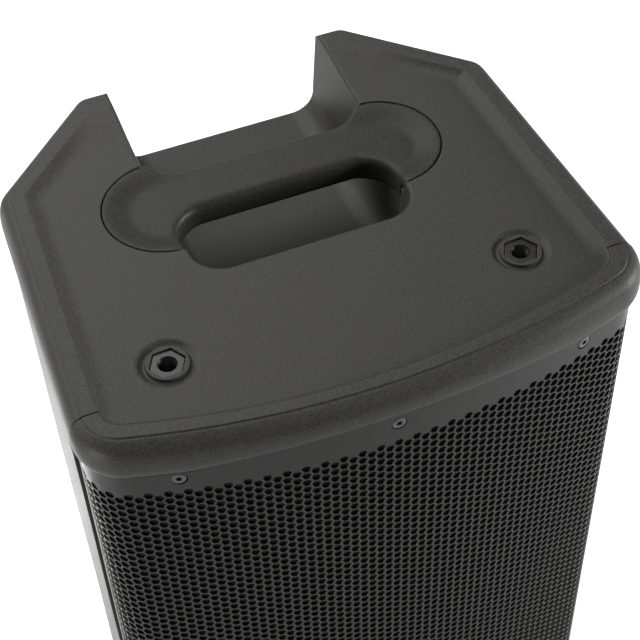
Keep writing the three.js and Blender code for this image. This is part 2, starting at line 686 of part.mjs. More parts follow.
function comboJack(cx) {
  const mouth = AMP.back + FIT + 2.4;
  const groove = ringY(7.9, 10, mouth - 14, mouth + 5, cx, COMBO.z, 16);
  const jackHole = discY(3.3, 118, 160, cx, COMBO.z, 12);
  const tabPocket = box(cx - 4.3, cx + 4.3, mouth - 1.9, mouth + 5, COMBO.z + 11, COMBO.z + 14.6);
  return cut(socketShell(cx, COMBO.z), groove, jackHole, tabPocket);
}

// The press tab that lets a plug go.
function latchTab(cx) {
  const mouth = AMP.back + FIT + 2.4;
  return box(cx - 4, cx + 4, mouth - 0.1, mouth + 1.6, COMBO.z + 11.3, COMBO.z + 14.3);
}

function lineOutSocket() {
  const mouth = AMP.back + FIT + 2.4;
  const { x, z } = LINE_OUT;
  const shell = cut(socketShell(x, z), discY(9.6, mouth - 14, mouth + 5, x, z, 20));
  const pins = [90, 210, 330].map((degrees) => {
    const [dx, dz] = direction(THREE.MathUtils.degToRad(degrees));
    return discY(1.2, mouth - 15, mouth - 5, x + 4.2 * dx, z + 4.2 * dz, 8);
  });
  return join(shell, ...pins);
}

function mainsInlet() {
  const { x, z } = INLET;
  const flange = prismY(roundedRect(x, z, 17, 13, 3), AMP.back + FIT, AMP.back + FIT + 2.2);
  const body = box(x - 14, x + 14, 112, AMP.back + 1, z - 10, z + 10);
  const well = prismY(polygon([
    [x - 12, z - 8], [x + 12, z - 8], [x + 12, z + 3.5], [x + 7.5, z + 8], [x - 7.5, z + 8], [x - 12, z + 3.5],
  ]), 125.8, 160);
  const pins = [[-7, -1.5], [0, 2.5], [7, -1.5]].map(([dx, dz]) =>
    box(x + dx - 1, x + dx + 1, 125, AMP.back - 3.4, z + dz - 2.2, z + dz + 2.2));
  return join(cut(join(flange, body), well), ...pins);
}

function switchHousing() {
  const { x, z } = SWITCH;
  const flange = prismY(roundedRect(x, z, 10.5, 14.5, 1.5), AMP.back + FIT, AMP.back + FIT + 1.8);
  const body = box(x - 8, x + 8, 120, AMP.back + 1, z - 12, z + 12);
  return cut(join(flange, body), box(x - 6.6, x + 6.6, 128, 160, z - 10.6, z + 10.6));
}

// The rocker stands in its off position, tipped about its pin.
function switchRocker() {
  const { x, z } = SWITCH;
  const pivot = AMP.back - 3;
  const section = polygon([[-4.6, -3.4], [4.6, -9.2], [4.6, 9.2], [-4.6, 3.4]]);
  const dish = new THREE.Shape();
  dish.absarc(16.3, 0, 12, 0, 2 * Math.PI);
  const rocker = cut(prismX(section, x - 6.2, x + 6.2), prismX(dish, x - 10, x + 10));
  const geometry = toGeometry(rocker).translate(-x, 0, 0).rotateX(ROCKER_TILT);
  return solid(geometry.translate(x, pivot, z));
}

function heatSink() {
  const points = [[-60, PLATE_FRONT - 0.4], [-60, PLATE_FRONT - 5]];
  for (let i = 0; i < 12; i += 1) {
    const x = -58 + i * 10;
    const root = PLATE_FRONT - 5;
    points.push([x, root], [x, root - 12], [x + 2.4, root - 12], [x + 2.4, root]);
  }
  points.push([60, PLATE_FRONT - 5], [60, PLATE_FRONT - 0.4]);
  return prismZ(polygon(points), 130, 200);
}

function circuitBoard(y, z0, z1) {
  return box(-62, 62, y, y + 1.6, z0, z1);
}

function reservoirCapacitor() {
  return turnedY([[0, 62], [13, 62], [14, 63], [14, 102.6], [0, 102.6]], -30, 168, 20);
}

function dampingPad(side) {
  const outline = roundedRect(side * 137, 165, 8, 100, 6);
  return prismY(outline, -60, 50);
}

// A sheathed pair of wires along a smooth route.
function lead(route) {
  const path = new THREE.CatmullRomCurve3(route.map((p) => new THREE.Vector3(...p)));
  const ring = new THREE.Shape();
  ring.absarc(0, 0, 2.2, 0, 2 * Math.PI);
  return solid(new THREE.ExtrudeGeometry(ring, { steps: 14, curveSegments: 4, extrudePath: path }));
}

const WOOFER_LEAD = [
  [52, 100, 120], [60, 90, 112], [84, 60, 110], [96, 10, 130], [98, -40, 160], [97, -66, 176],
];
const DRIVER_LEAD = [[-40, 99, 380], [-46, 84, 400], [-40, 60, 425], [-20, 40, 440], [0, 16, 440]];

// ---------------------------------------------------------------- assembly

const finish = (color, roughness, metalness = 0) => ({ color, roughness, metalness });
const MATERIALS = {
  cabinet: finish(0x2a2a29, 0.6),
  grille: finish(0x2b2b2a, 0.5, 0.3),
  cloth: finish(0x0c0c0c, 0.95),
  steel: finish(0x8c8c8a, 0.35, 1),
  blackMetal: finish(0x1a1a1a, 0.4, 0.8),
  ferrite: finish(0x2c2c30, 0.7, 0.2),
  paper: finish(0x1d1d1d, 0.8),
  rubber: finish(0x151515, 0.85),
  fabric: finish(0xb08a4a, 0.9),
  aluminium: finish(0xa8a8aa, 0.4, 1),
  plastic: finish(0x121212, 0.45),
  glass: finish(0x0a0d10, 0.1),
  board: finish(0x1f4a2c, 0.6),
  copper: finish(0xb87333, 0.4, 1),
  wadding: finish(0x8f8f8a, 1),
};

const speaker = new THREE.Group();

function addPiece(name, body, material) {
  const mesh = new THREE.Mesh(toGeometry(body), new THREE.MeshStandardMaterial(MATERIALS[material]));
  mesh.name = name;
  speaker.add(mesh);
}

addPiece('rear_cabinet', rearCabinet(), 'cabinet');
addPiece('front_baffle', frontBaffle(), 'cabinet');
addPiece('grille', grille(), 'grille');
addPiece('grille_cloth', grilleCloth(), 'cloth');
addPiece('handle_grip', handleGrip(), 'cabinet');

for (const [side, x] of [['left', -INSERT.x], ['right', INSERT.x]]) {
  addPiece(`top_insert_${side}`, threadedInsertZ(x, INSERT.y, PANEL_Z - 0.4, -1), 'blackMetal');
  addPiece(`bottom_insert_${side}`, threadedInsertZ(x, INSERT.y, BASE_Z + 0.4, 1), 'blackMetal');
}
addPiece('rear_insert', rearInsert(), 'blackMetal');
for (const [place, x, z] of GRILLE_SCREWS) addPiece(`grille_screw_${place}`, grilleScrew(x, z), 'blackMetal');
FEET.forEach(([x, y], i) => addPiece(`rubber_foot_${i + 1}`, rubberFoot(x, y), 'rubber'));
addPiece('pole_socket', poleSocket(), 'plastic');

addPiece('woofer_basket', wooferBasket(), 'blackMetal');
addPiece('woofer_front_plate', wooferFrontPlate(), 'steel');
addPiece('woofer_magnet', wooferMagnet(), 'ferrite');
addPiece('woofer_back_plate', wooferBackPlate(), 'steel');
addPiece('woofer_cone', wooferCone(), 'paper');
addPiece('woofer_dust_cap', wooferDustCap(), 'paper');
addPiece('woofer_surround', wooferSurround(), 'rubber');
addPiece('woofer_spider', wooferSpider(), 'fabric');
addPiece('voice_coil', voiceCoil(), 'copper');

addPiece('horn_waveguide', waveguide(), 'plastic');
addPiece('driver_body', driverBody(), 'ferrite');
addPiece('driver_diaphragm', driverDiaphragm(), 'aluminium');
addPiece('driver_cover', driverCover(), 'plastic');
addPiece('port_tube_left', portTube(-PORT.x), 'plastic');
addPiece('port_tube_right', portTube(PORT.x), 'plastic');

addPiece('amplifier_panel', amplifierPanel(), 'plastic');
addPiece('display_window', displayWindow(), 'glass');
addPiece('display_module', displayModule(), 'board');
addPiece('encoder_body', encoderBody(), 'steel');
addPiece('encoder_plunger', encoderPlunger(), 'steel');
addPiece('encoder_knob', encoderKnob(), 'plastic');
for (const [number, x] of [[1, GAIN.x], [2, -GAIN.x]]) {
  addPiece(`gain_knob_${number}`, gainKnob(x), 'plastic');
  addPiece(`combo_jack_${number}`, comboJack(x), 'plastic');
  addPiece(`jack_latch_tab_${number}`, latchTab(x), 'steel');
}
addPiece('line_out_socket', lineOutSocket(), 'plastic');
addPiece('mains_inlet', mainsInlet(), 'plastic');
addPiece('switch_housing', switchHousing(), 'plastic');
addPiece('switch_rocker', switchRocker(), 'plastic');
addPiece('heat_sink', heatSink(), 'aluminium');
addPiece('amplifier_board', circuitBoard(103, 206, 404), 'board');
addPiece('power_supply_board', circuitBoard(103, 74, 200), 'board');
addPiece('reservoir_capacitor', reservoirCapacitor(), 'plastic');
addPiece('damping_pad_left', dampingPad(-1), 'wadding');
addPiece('damping_pad_right', dampingPad(1), 'wadding');
addPiece('woofer_lead', lead(WOOFER_LEAD), 'rubber');
addPiece('driver_lead', lead(DRIVER_LEAD), 'rubber');

export default speaker;
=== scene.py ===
import math

import bmesh
import bpy
import numpy as np
from mathutils import Matrix, Vector
from mathutils.geometry import delaunay_2d_cdt


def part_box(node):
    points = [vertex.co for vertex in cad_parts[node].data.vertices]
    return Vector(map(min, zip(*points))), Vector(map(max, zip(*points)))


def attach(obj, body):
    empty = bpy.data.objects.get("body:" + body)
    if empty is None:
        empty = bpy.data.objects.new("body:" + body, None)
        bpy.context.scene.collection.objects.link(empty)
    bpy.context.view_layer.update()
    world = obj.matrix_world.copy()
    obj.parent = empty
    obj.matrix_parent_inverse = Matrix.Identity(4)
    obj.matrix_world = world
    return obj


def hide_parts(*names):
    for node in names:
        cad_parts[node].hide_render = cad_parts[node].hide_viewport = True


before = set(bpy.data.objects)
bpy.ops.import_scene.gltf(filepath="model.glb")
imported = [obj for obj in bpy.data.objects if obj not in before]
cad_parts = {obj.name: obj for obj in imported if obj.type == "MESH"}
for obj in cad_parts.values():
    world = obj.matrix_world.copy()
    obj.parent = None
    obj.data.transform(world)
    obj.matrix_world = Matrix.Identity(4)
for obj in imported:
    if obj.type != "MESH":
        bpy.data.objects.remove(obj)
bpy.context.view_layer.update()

# Lengths in this script are millimetres in the frame's own axes; mesh_object() turns them into metres.
MM = 0.001
CABINET = "cabinet"


def corner(node, high):
    """One corner of a CAD node's box, in millimetres."""
    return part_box(node)[1 if high else 0] / MM


# ------------------------------------------------------------------ places taken from the frame

HEIGHT = corner("rear_cabinet", True).z
BASE_Z = corner("rear_cabinet", False).z
SEAM_Y = -99.3

# the rim's plan is the part's own outline: arcs whose normals run from the front to the back
BOW = (0.0, SEAM_Y + 435.3, 479.0)
CORNER = (134.6, SEAM_Y - 0.3, 23.2)
BOW_END = math.atan2(CORNER[1] - BOW[1], CORNER[0])
SIDE_TAPER = math.radians(2.23)
CHAMFER_TURN = math.radians(44.82)
CHAMFER_CORNER = (150.9, SEAM_Y + 177.1, 8.0)
TIP_CORNER = (86.1, SEAM_Y + 242.3, 5.0)

PANEL_DROP = 4.0
PANEL_Z = HEIGHT - PANEL_DROP
PANEL_UNDER = PANEL_Z - 6.0
FADE_FROM, FADE_TO = SEAM_Y + 188.0, SEAM_Y + 233.0
GRILLE_LINE_MIDDLE, GRILLE_LINE_BOW, GRILLE_LINE_REACH = 19.6, 0.00057, 112.0
RIM_LINE_DEPTH = 33.8

NOTCH_HALF, NOTCH_FLOOR, WELL_DRAFT = 71.6, HEIGHT - 64.0, math.tan(math.radians(4.6))
SLOT_HALF, SLOT_FRONT, SLOT_BACK, SLOT_CORNER = 68.4, SEAM_Y + 73.7, SEAM_Y + 131.0, 21.0
BAR_BACK = SEAM_Y + 164.3
BAR_UNDER = HEIGHT - 26.0
WELL_STEP = 31.0
EAR_X, EAR_Y, EAR_R = 67.5, SEAM_Y + 136.1, 38.3
INSERT_X, INSERT_Y, INSERT_FLATS = 104.6, SEAM_Y + 20.7, 18.0
REAR_INSERT_Z = 462.0
FEET = ((-134, -84), (134, -84), (-74, 112), (74, 112))

BAFFLE_FRONT, BAFFLE_BACK = -112.0, -104.0


# ------------------------------------------------------------------ meshes

def mesh_object(name, points, faces):
    """A new object from points in millimetres."""
    mesh = bpy.data.meshes.new(name)
    mesh.from_pydata([tuple(c * MM for c in p) for p in points], [], [tuple(f) for f in faces])
    mesh.validate()
    obj = bpy.data.objects.new(name, mesh)
    bpy.context.scene.collection.objects.link(obj)
    tidy(obj)
    return obj


def tidy(obj, merge=0.0, fill=False):
    """Faces out and, where asked, doubled points merged and holes filled."""
    edit = bmesh.new()
    edit.from_mesh(obj.data)
    if merge:
        bmesh.ops.remove_doubles(edit, verts=edit.verts, dist=merge * MM)
    bmesh.ops.recalc_face_normals(edit, faces=edit.faces)
    if fill:
        bmesh.ops.holes_fill(edit, edges=edit.edges)
        bmesh.ops.recalc_face_normals(edit, faces=edit.faces)
    edit.to_mesh(obj.data)
    edit.free()


def loft(name, rings, caps=True, mirrored=False):
    """A closed body through rings of points. Mirrored rings are capped with strips from side to side."""
    count = len(rings[0])
    points = [p for ring in rings for p in ring]
    faces = []
    for k in range(len(rings) - 1):
        for i in range(count):
            j = (i + 1) % count
            faces.append((k * count + i, k * count + j, (k + 1) * count + j, (k + 1) * count + i))
    if caps:
        for start in (0, (len(rings) - 1) * count):
            if mirrored:
                half = count // 2
                for i in range(half):
                    a, b = start + i, start + i + 1
                    c, d = start + (count - i - 1) % count, start + (count - i) % count
                    quad = [v for k, v in enumerate((a, b, c, d)) if v not in (a, b, c, d)[:k]]
                    if len(quad) > 2:
                        faces.append(tuple(quad))
            else:
                faces.append(tuple(range(start, start + count)))
    return mesh_object(name, points, faces)


def turned(name, profile, centre, axis="z", segments=64):
    """A round body about an axis: profile points are (radius, distance along the axis)."""
    rings = []
    for r, h in profile:
        ring = []
        for i in range(segments):
            a = 2 * math.pi * i / segments
            u, v = max(r, 0.0) * math.cos(a), max(r, 0.0) * math.sin(a)
            x, y, z = centre
            ring.append((x + u, y + v, z + h) if axis == "z" else (x + u, y + h, z - v))
        rings.append(ring)
    obj = loft(name, rings, caps=False)
    tidy(obj, merge=0.002, fill=profile[0] != profile[-1])
    return obj


def box_body(name, low, high):
    (x0, y0, z0), (x1, y1, z1) = low, high
    ring = [(x0, y0), (x1, y0), (x1, y1), (x0, y1)]
    return loft(name, [[(x, y, z0) for x, y in ring], [(x, y, z1) for x, y in ring]])


def prism(name, outline, low, high, axis="z"):
    """An outline in the plane across an axis, swept from low to high along it."""
    def place(u, v, h):
        return {"z": (u, v, h), "y": (u, h, v), "x": (h, u, v)}[axis]
    return loft(name, [[place(u, v, low) for u, v in outline], [place(u, v, high) for u, v in outline]])


def bevel_edges(obj, width, segments):
    mod = obj.modifiers.new("bevel", "BEVEL")
    mod.width = width * MM
    mod.segments = segments
    mod.limit_method = "ANGLE"
    mod.angle_limit = math.radians(30)
    apply_modifiers(obj)


def apply_modifiers(obj):
    graph = bpy.context.evaluated_depsgraph_get()
    mesh = bpy.data.meshes.new_from_object(obj.evaluated_get(graph))
    obj.modifiers.clear()
    obj.data = mesh


def boolean(target, cutters, operation="DIFFERENCE"):
    """Cuts or joins bodies into target and removes them."""
    for cutter in cutters:
        mod = target.modifiers.new("cut", "BOOLEAN")
        mod.operation = operation
        mod.solver = "MANIFOLD"
        mod.object = cutter
        apply_modifiers(target)
        bpy.data.objects.remove(cutter)
    return target


def shade(obj, angle=32):
    """Smooth shading with real edges kept, and normals that large flat faces hold flat."""
    obj.data.shade_smooth()
    obj.data.set_sharp_from_angle(angle=math.radians(angle))
    mod = obj.modifiers.new("normals", "WEIGHTED_NORMAL")
    mod.keep_sharp = True
    mod.weight = 80
    return obj


def smooth_curve(points, per=6):
    """A Catmull-Rom curve through the points."""
    pts = [points[0]] + list(points) + [points[-1]]
    out = []
    for i in range(1, len(pts) - 2):
        p0, p1, p2, p3 = (np.array(pts[k], float) for k in (i - 1, i, i + 1, i + 2))
        for s in range(per):
            t = s / per
            out.append(tuple(0.5 * (2 * p1 + (p2 - p0) * t + (2 * p0 - 5 * p1 + 4 * p2 - p3) * t ** 2
                                    + (3 * p1 - p0 - 3 * p2 + p3) * t ** 3)))
    return out + [tuple(float(c) for c in points[-1])]


def smoothstep(x):
    x = np.clip(x, 0.0, 1.0)
    return x * x * (3 - 2 * x)


# ------------------------------------------------------------------ plan of the cabinet

def corner_centre(point, angle_a, angle_b, offset, r):
    ax, ay, bx, by = math.cos(angle_a), math.sin(angle_a), math.cos(angle_b), math.sin(angle_b)
    reach_a = ax * point[0] + ay * point[1] + offset - r
    reach_b = bx * point[0] + by * point[1] + offset - r
    det = ax * by - ay * bx
    return (reach_a * by - reach_b * ay) / det, (ax * reach_b - bx * reach_a) / det


def plan_outline(offset, bow=30, fine=12):
    """The rim outline moved outwards, as (x, y) points mirrored about x = 0; its count never changes."""
    side = (24, 20)
    arcs = [(BOW, None, -math.pi / 2, BOW_END, bow),
            (CORNER, None, BOW_END, SIDE_TAPER, fine),
            (None, CHAMFER_CORNER, SIDE_TAPER, CHAMFER_TURN, 6),
            (None, TIP_CORNER, CHAMFER_TURN, math.pi / 2, 6)]
    right = []
    for k, (centre, point, a0, a1, steps) in enumerate(arcs):
        r = max((centre or point)[2] + offset, 0.4)
        x, y = centre[:2] if centre else corner_centre(point, a0, a1, offset, r)
        angles = [a0 + (a1 - a0) * i / steps for i in range(steps + 1)]
        arc = [(x + r * math.cos(a), y + r * math.sin(a)) for a in angles]
        if k >= 2:
            (x0, y0), (x1, y1), n = right[-1], arc[0], side[k - 2]
            right += [(x0 + (x1 - x0) * i / n, y0 + (y1 - y0) * i / n) for i in range(1, n)]
        right += arc if k != 1 else arc[1:]
    back_x, back_y = right[-1]
    right += [(back_x * (1 - i / 8), back_y) for i in range(1, 9)]
    return right + [(-x, y) for x, y in reversed(right[1:-1])]


def plan_ring(offset, z, flatten=0.0):
    """A ring of the cabinet's plan; flatten draws its bowed front back towards the seam."""
    return [(x, y + flatten * max(0.0, SEAM_Y - y), z(x, y) if callable(z) else z)
            for x, y in plan_outline(offset)]


def plan_prism(name, offset, z0, z1):
    return loft(name, [plan_ring(offset, z0), plan_ring(offset, z1)], mirrored=True)


def grille_depth(x):
    return GRILLE_LINE_MIDDLE + GRILLE_LINE_BOW * min(abs(x), GRILLE_LINE_REACH) ** 2


def panel_depth(y, depth=PANEL_DROP):
    """The top panel lies below the rim and rises to meet it at the back."""
    return depth * (1 - float(smoothstep((y - FADE_FROM) / (FADE_TO - FADE_FROM))))


def seam_line(shift):
    """The seam seen from the side, as (y, z) points from top to bottom."""
    bends = smooth_curve([(0, 12), (1.2, 17), (5, 25), (11, 33), (17, 40), (20.6, 48), (22, 56)], 5)
    upper = [(SEAM_Y + back + shift, HEIGHT - depth) for back, depth in [(0, -30)] + bends]
    lower = [(SEAM_Y + back + shift, BASE_Z + depth) for back, depth in [(0, -30)] + bends]
    return upper + lower[::-1]


def ahead_of_seam(name, shift):
    return prism(name, [(-220, BASE_Z - 60), (-220, HEIGHT + 60)] + seam_line(shift), -220, 220, "x")


def rounded_rect(cx, cy, hx, hy, r, steps=8):
    points = []
    for k, (sx, sy) in enumerate(((1, 1), (-1, 1), (-1, -1), (1, -1))):
        for i in range(steps + 1):
            a = (k + i / steps) * math.pi / 2
            points.append((cx + sx * (hx - r) + r * math.cos(a), cy + sy * (hy - r) + r * math.sin(a)))
    return points


def hexagon(cx, cy, flats, turn=2):
    r = flats / math.sqrt(3)
    angles = [math.radians(turn + 60 * i) for i in range(6)]
    return [(cx + r * math.cos(a), cy + r * math.sin(a)) for a in angles]


# ------------------------------------------------------------------ housing

# profiles of the rim and the sides as (outwards from the rim's outline, below the top)
RIM_INNER = [(-19.4, 4.0), (-18.2, 3.96), (-16.6, 3.78), (-14.9, 3.4), (-13.3, 2.85), (-12.0, 2.2),
             (-11, 1.55), (-10.1, 0.9), (-9.4, 0.36), (-8.8, 0.07), (-8.2, 0.0)]
RIM_STEP = [(-0.9, 0.0), (-0.45, 0.12), (-0.2, 0.45), (-0.05, 0.85), (0.2, 1.0)]
ROLL = [(0.2, 1.0), (1.3, 1.15), (2.6, 1.9), (4.6, 3.7), (6.3, 6.6), (7.6, 11), (8.3, 17), (8.4, 22)]
SHELL_SIDE = [(8.4, 22), (8.1, 32), (7.5, 44), (6.95, 62), (6.7, 120), (6.7, 200), (6.3, 300), (5.3, 400),
              (5.2, 500), (5.4, 552), (6.0, 566), (5.9, 574), (5.0, 581), (3.2, 586.4),
              (1.2, 588.6), (-1.0, 589)]
BEZEL_CURL = [(8.4, 22), (8.15, 25.5), (7.4, 28.6), (6.3, 31.2), (5.1, 33.2), (4.75, 33.8)]
BEZEL_INNER = [(-13.0, 4.0), (-12.2, 3.8), (-11.3, 3.3), (-10.6, 2.5), (-10.1, 1.4), (-9.7, 0.5),
               (-9.1, 0.07), (-8.2, 0.0)]


def shell_rings():
    """Rings of the rear shell; the ramp inside its rim runs out flat ahead of the seam."""
    def ramp(x, y, d, o):
        behind = float(smoothstep((y - SEAM_Y + 1) / 9)) if o < -12 else 1.0
        return HEIGHT - panel_depth(y, PANEL_DROP - (PANEL_DROP - d) * behind)
    rings = [plan_ring(o, lambda x, y, d=d, o=o: ramp(x, y, d, o)) for o, d in RIM_INNER]
    outside = RIM_STEP[:-1] + smooth_curve(ROLL, 3)[:-1] + smooth_curve(SHELL_SIDE, 3)
    return rings + [plan_ring(o, HEIGHT - d, rim_flatten(d)) for o, d in outside]


def rim_flatten(depth):
    """The rim's outer edge is bowed less than the roll below it."""
    return 0.045 * (1 - float(smoothstep(depth / 9)))


def well_outline(grow):
    """Plan of the handle well: the finger slot in front and the notch open to the back."""
    r = SLOT_CORNER + grow
    front = [(SLOT_HALF + grow - r + r * math.sin(a), SLOT_FRONT - grow + r - r * math.cos(a))
             for a in (math.pi / 2 * i / 12 for i in range(13))]
    step = [(SLOT_HALF + grow + (NOTCH_HALF - SLOT_HALF) * float(smoothstep(i / 6)),
             SLOT_BACK - WELL_STEP + i) for i in range(1, 7)]
    side = [(NOTCH_HALF + grow, SLOT_BACK + 2 + i * 8) for i in range(16)]
    flare = [(NOTCH_HALF + grow + 2.2 * (1 - math.cos(a)), 147.0 + 2.2 * math.sin(a))
             for a in (math.pi / 2 * i / 5 for i in range(6))]
    right = [p for p in front + step + side if p[1] < 146.5] + flare + [(NOTCH_HALF + grow + 2.2, 200)]
    return right + [(-x, y) for x, y in reversed(right)]


def well_cutter():
    """The handle well, with its rounded upper edge, drafted walls and the wide fillet round its floor."""
    edge, fillet, inset = 2.6, 17.0, -0.9
    rings = []

    def ring(grow, drop):
        return [(x, y, HEIGHT - (panel_depth(y) if drop < 30 else PANEL_DROP) - drop)
                for x, y in well_outline(grow)]
    rings.append([(x, y, HEIGHT + 30) for x, y in well_outline(inset + edge)])
    for i in range(7):
        a = math.pi / 2 * i / 6
        rings.append(ring(inset + edge * (1 - math.sin(a)), edge * (1 - math.cos(a))))
    depth = PANEL_Z - NOTCH_FLOOR
    for i in range(1, 13):
        a = math.pi / 2 * i / 12
        drop = depth - fillet * (1 - math.sin(a))
        rings.append(ring(inset - WELL_DRAFT * (depth - fillet) - fillet * (1 - math.cos(a)), drop))
    return loft("well", rings)


def ear_cutter(name, x):
    profile = [(0, 8), (EAR_R + 1.2, 8), (EAR_R + 0.9, 0.0), (EAR_R + 0.35, -0.3), (EAR_R, -1.0),
               (EAR_R, -8.6), (0, -8.6)]
    return turned(name, profile, (x, EAR_Y, PANEL_Z), "z", 96)


def moat_cutter(name, x):
    profile = [(11.7, 4), (11.8, 0.0), (12.0, -0.9), (12.5, -1.8), (13.4, -2.2), (14.5, -1.9), (15.7, -1.1),
               (16.8, -0.4), (18.0, 0.0), (18.0, 4), (11.7, 4)]
    return turned(name, profile, (x, INSERT_Y, PANEL_Z), "z", 72)


def build_shell():
    shell = loft("rear_shell", shell_rings(), mirrored=True)
    keep = ahead_of_seam("ahead", 0.45)
    boolean(keep, [plan_prism("tongue", -10.0, PANEL_UNDER, HEIGHT + 80)])
    cutters = [keep, well_cutter()]
    hollow = plan_prism("hollow", 0.5, BASE_Z + 5, PANEL_UNDER)
    wall = 4.4
    block = prism("block", [(x, y) for x, y in well_outline(wall)], NOTCH_FLOOR - wall, HEIGHT + 20)
    bosses = [turned("boss", [(0, -13), (EAR_R + 3.6, -13), (EAR_R + 3.6, 5), (0, 5)], (x, EAR_Y, PANEL_Z))
              for x in (-EAR_X, EAR_X)]
    boolean(hollow, [block] + bosses)
    boolean(hollow, [box_body("bay", (-82.6, 127, 61.4), (82.6, 147, 418.6))])
    cutters.append(hollow)
    cutters += [ear_cutter("ear", x) for x in (-EAR_X, EAR_X)]
    for x in (-INSERT_X, INSERT_X):
        seat = hexagon(x, INSERT_Y, INSERT_FLATS + 0.5)
        cutters += [moat_cutter("moat", x), prism("hex", seat, PANEL_UNDER - 5, HEIGHT),
                    prism("low_hex", seat, 0, 20)]
    cutters.append(prism("rear_hex", hexagon(0, REAR_INSERT_Z, INSERT_FLATS + 0.5), 130, 170, "y"))
    cutters.append(box_body("amp_pocket", (-76, 137, 68), (76, 200, 412)))
    cutters.append(box_body("amp_window", (-66.6, 100, 77.4), (66.6, 160, 402.6)))
    cutters.append(turned("pole_hole", [(0, -20), (22, -20), (22, 20), (0, 20)], (0, -14, BASE_Z)))
    seat = [(0, -20), (11.4, -20), (11.4, 2), (3.5, 2), (3.5, 14), (0, 14)]
    cutters += [turned("foot_seat", seat, (x, y, BASE_Z), "z", 40) for x, y in FEET]
    boolean(shell, cutters)
    return shell


def build_bezel():
    rings = [plan_ring(o, HEIGHT - d) for o, d in BEZEL_INNER]
    rings += [plan_ring(o, HEIGHT - d, rim_flatten(0)) for o, d in RIM_STEP[:-1]]
    roll = smooth_curve(ROLL, 3)[:-1] + smooth_curve(BEZEL_CURL, 3)

    def bowed(d, x):
        """A depth on the roll, stretched so that its end meets the grille's line."""
        return 1 + (d - 1) * (grille_depth(x) - 1) / (RIM_LINE_DEPTH - 1)
    rings += [plan_ring(o, lambda x, y, d=d: HEIGHT - bowed(d, x), rim_flatten(d)) for o, d in roll]
    rings.append(plan_ring(2.9, lambda x, y: HEIGHT - grille_depth(x)))
    rings.append(plan_ring(2.9, lambda x, y: BASE_Z + grille_depth(x)))
    rings += [plan_ring(o, lambda x, y, d=d: BASE_Z + bowed(d, x)) for o, d in reversed(roll)]
    rings += [plan_ring(o, BASE_Z + d) for o, d in reversed(RIM_STEP[:-1])]
    bezel = loft("front_bezel", rings, mirrored=True)
    boolean(bezel, [ahead_of_seam("ahead", -0.45)], "INTERSECT")
    hollow = plan_prism("hollow", -4, BASE_Z + 5, PANEL_UNDER - 0.3)
    boolean(hollow, [box_body("front_half", (-200, -200, 0), (200, BAFFLE_BACK, 700))])
    cutters = [hollow, box_body("recess", (-200, -200, BASE_Z + 37), (200, BAFFLE_FRONT, HEIGHT - 37)),
               plan_prism("panel_clear", -9.8, PANEL_UNDER - 0.3, HEIGHT + 5),
               disc("woofer_cut", 0, 176, 118.6, -140, -95, 96),
               prism("horn_cut", rounded_rect(0, 438, 113, 59, 16), -140, -95, "y")]
    cutters += [disc("port_cut", x, 329, 26.5, -140, -95) for x in (-114, 114)]
    for name, x, z in grille_screws():
        cutters.append(along_bow("screw_hole", [(0, -3), (2.2, -3), (2.2, 14), (0, 14)], x, z, 20))
    boolean(bezel, cutters)
    return bezel


def grille_screws():
    """Name, x and z of each grille screw, as in the frame."""
    rows = []
    for place in ("top_centre", "top_left", "top_right", "bottom_centre", "bottom_left", "bottom_right"):
        node = f"grille_screw_{place}"
        low, high = corner(node, False), corner(node, True)
        side = {"centre": 0, "left": -119, "right": 119}[place.split("_")[1]]
        rows.append((node, side, (low.z + high.z) / 2))
    return rows


def on_bow(x, z):
    """Moves a body from the origin to the grille's face at x, its y axis along the inward normal."""
    r = BOW[2] + GRILLE_OUT
    place = Matrix.Translation(Vector((x, BOW[1] - math.sqrt(r * r - x * x), z)) * MM)
    return place @ Matrix.Rotation(math.asin(x / r), 4, "Z")


def along_bow(name, profile, x, z, segments):
    """A round body whose axis is the front's normal at x; depths run inwards from the grille's face."""
    body = turned(name, profile, (0, 0, 0), "y", segments)
    body.data.transform(on_bow(x, z))
    return body


# ------------------------------------------------------------------ grille

GRILLE_OUT, GRILLE_THICK = 4.7, 1.5
PITCH = 6.1
WEB = 1.15
HOLE_TOP = 43.0


def grille_path():
    """Arc lengths and points of the grille's outer face, from the front centre to its right edge."""
    outline = [p for p in plan_outline(GRILLE_OUT, bow=90, fine=40) if p[0] >= 0]
    points = [p for p in outline if p[1] < SEAM_Y + 30]
    s = [0.0]
    for a, b in zip(points, points[1:]):
        s.append(s[-1] + math.dist(a, b))
    return np.array(s), np.array(points)


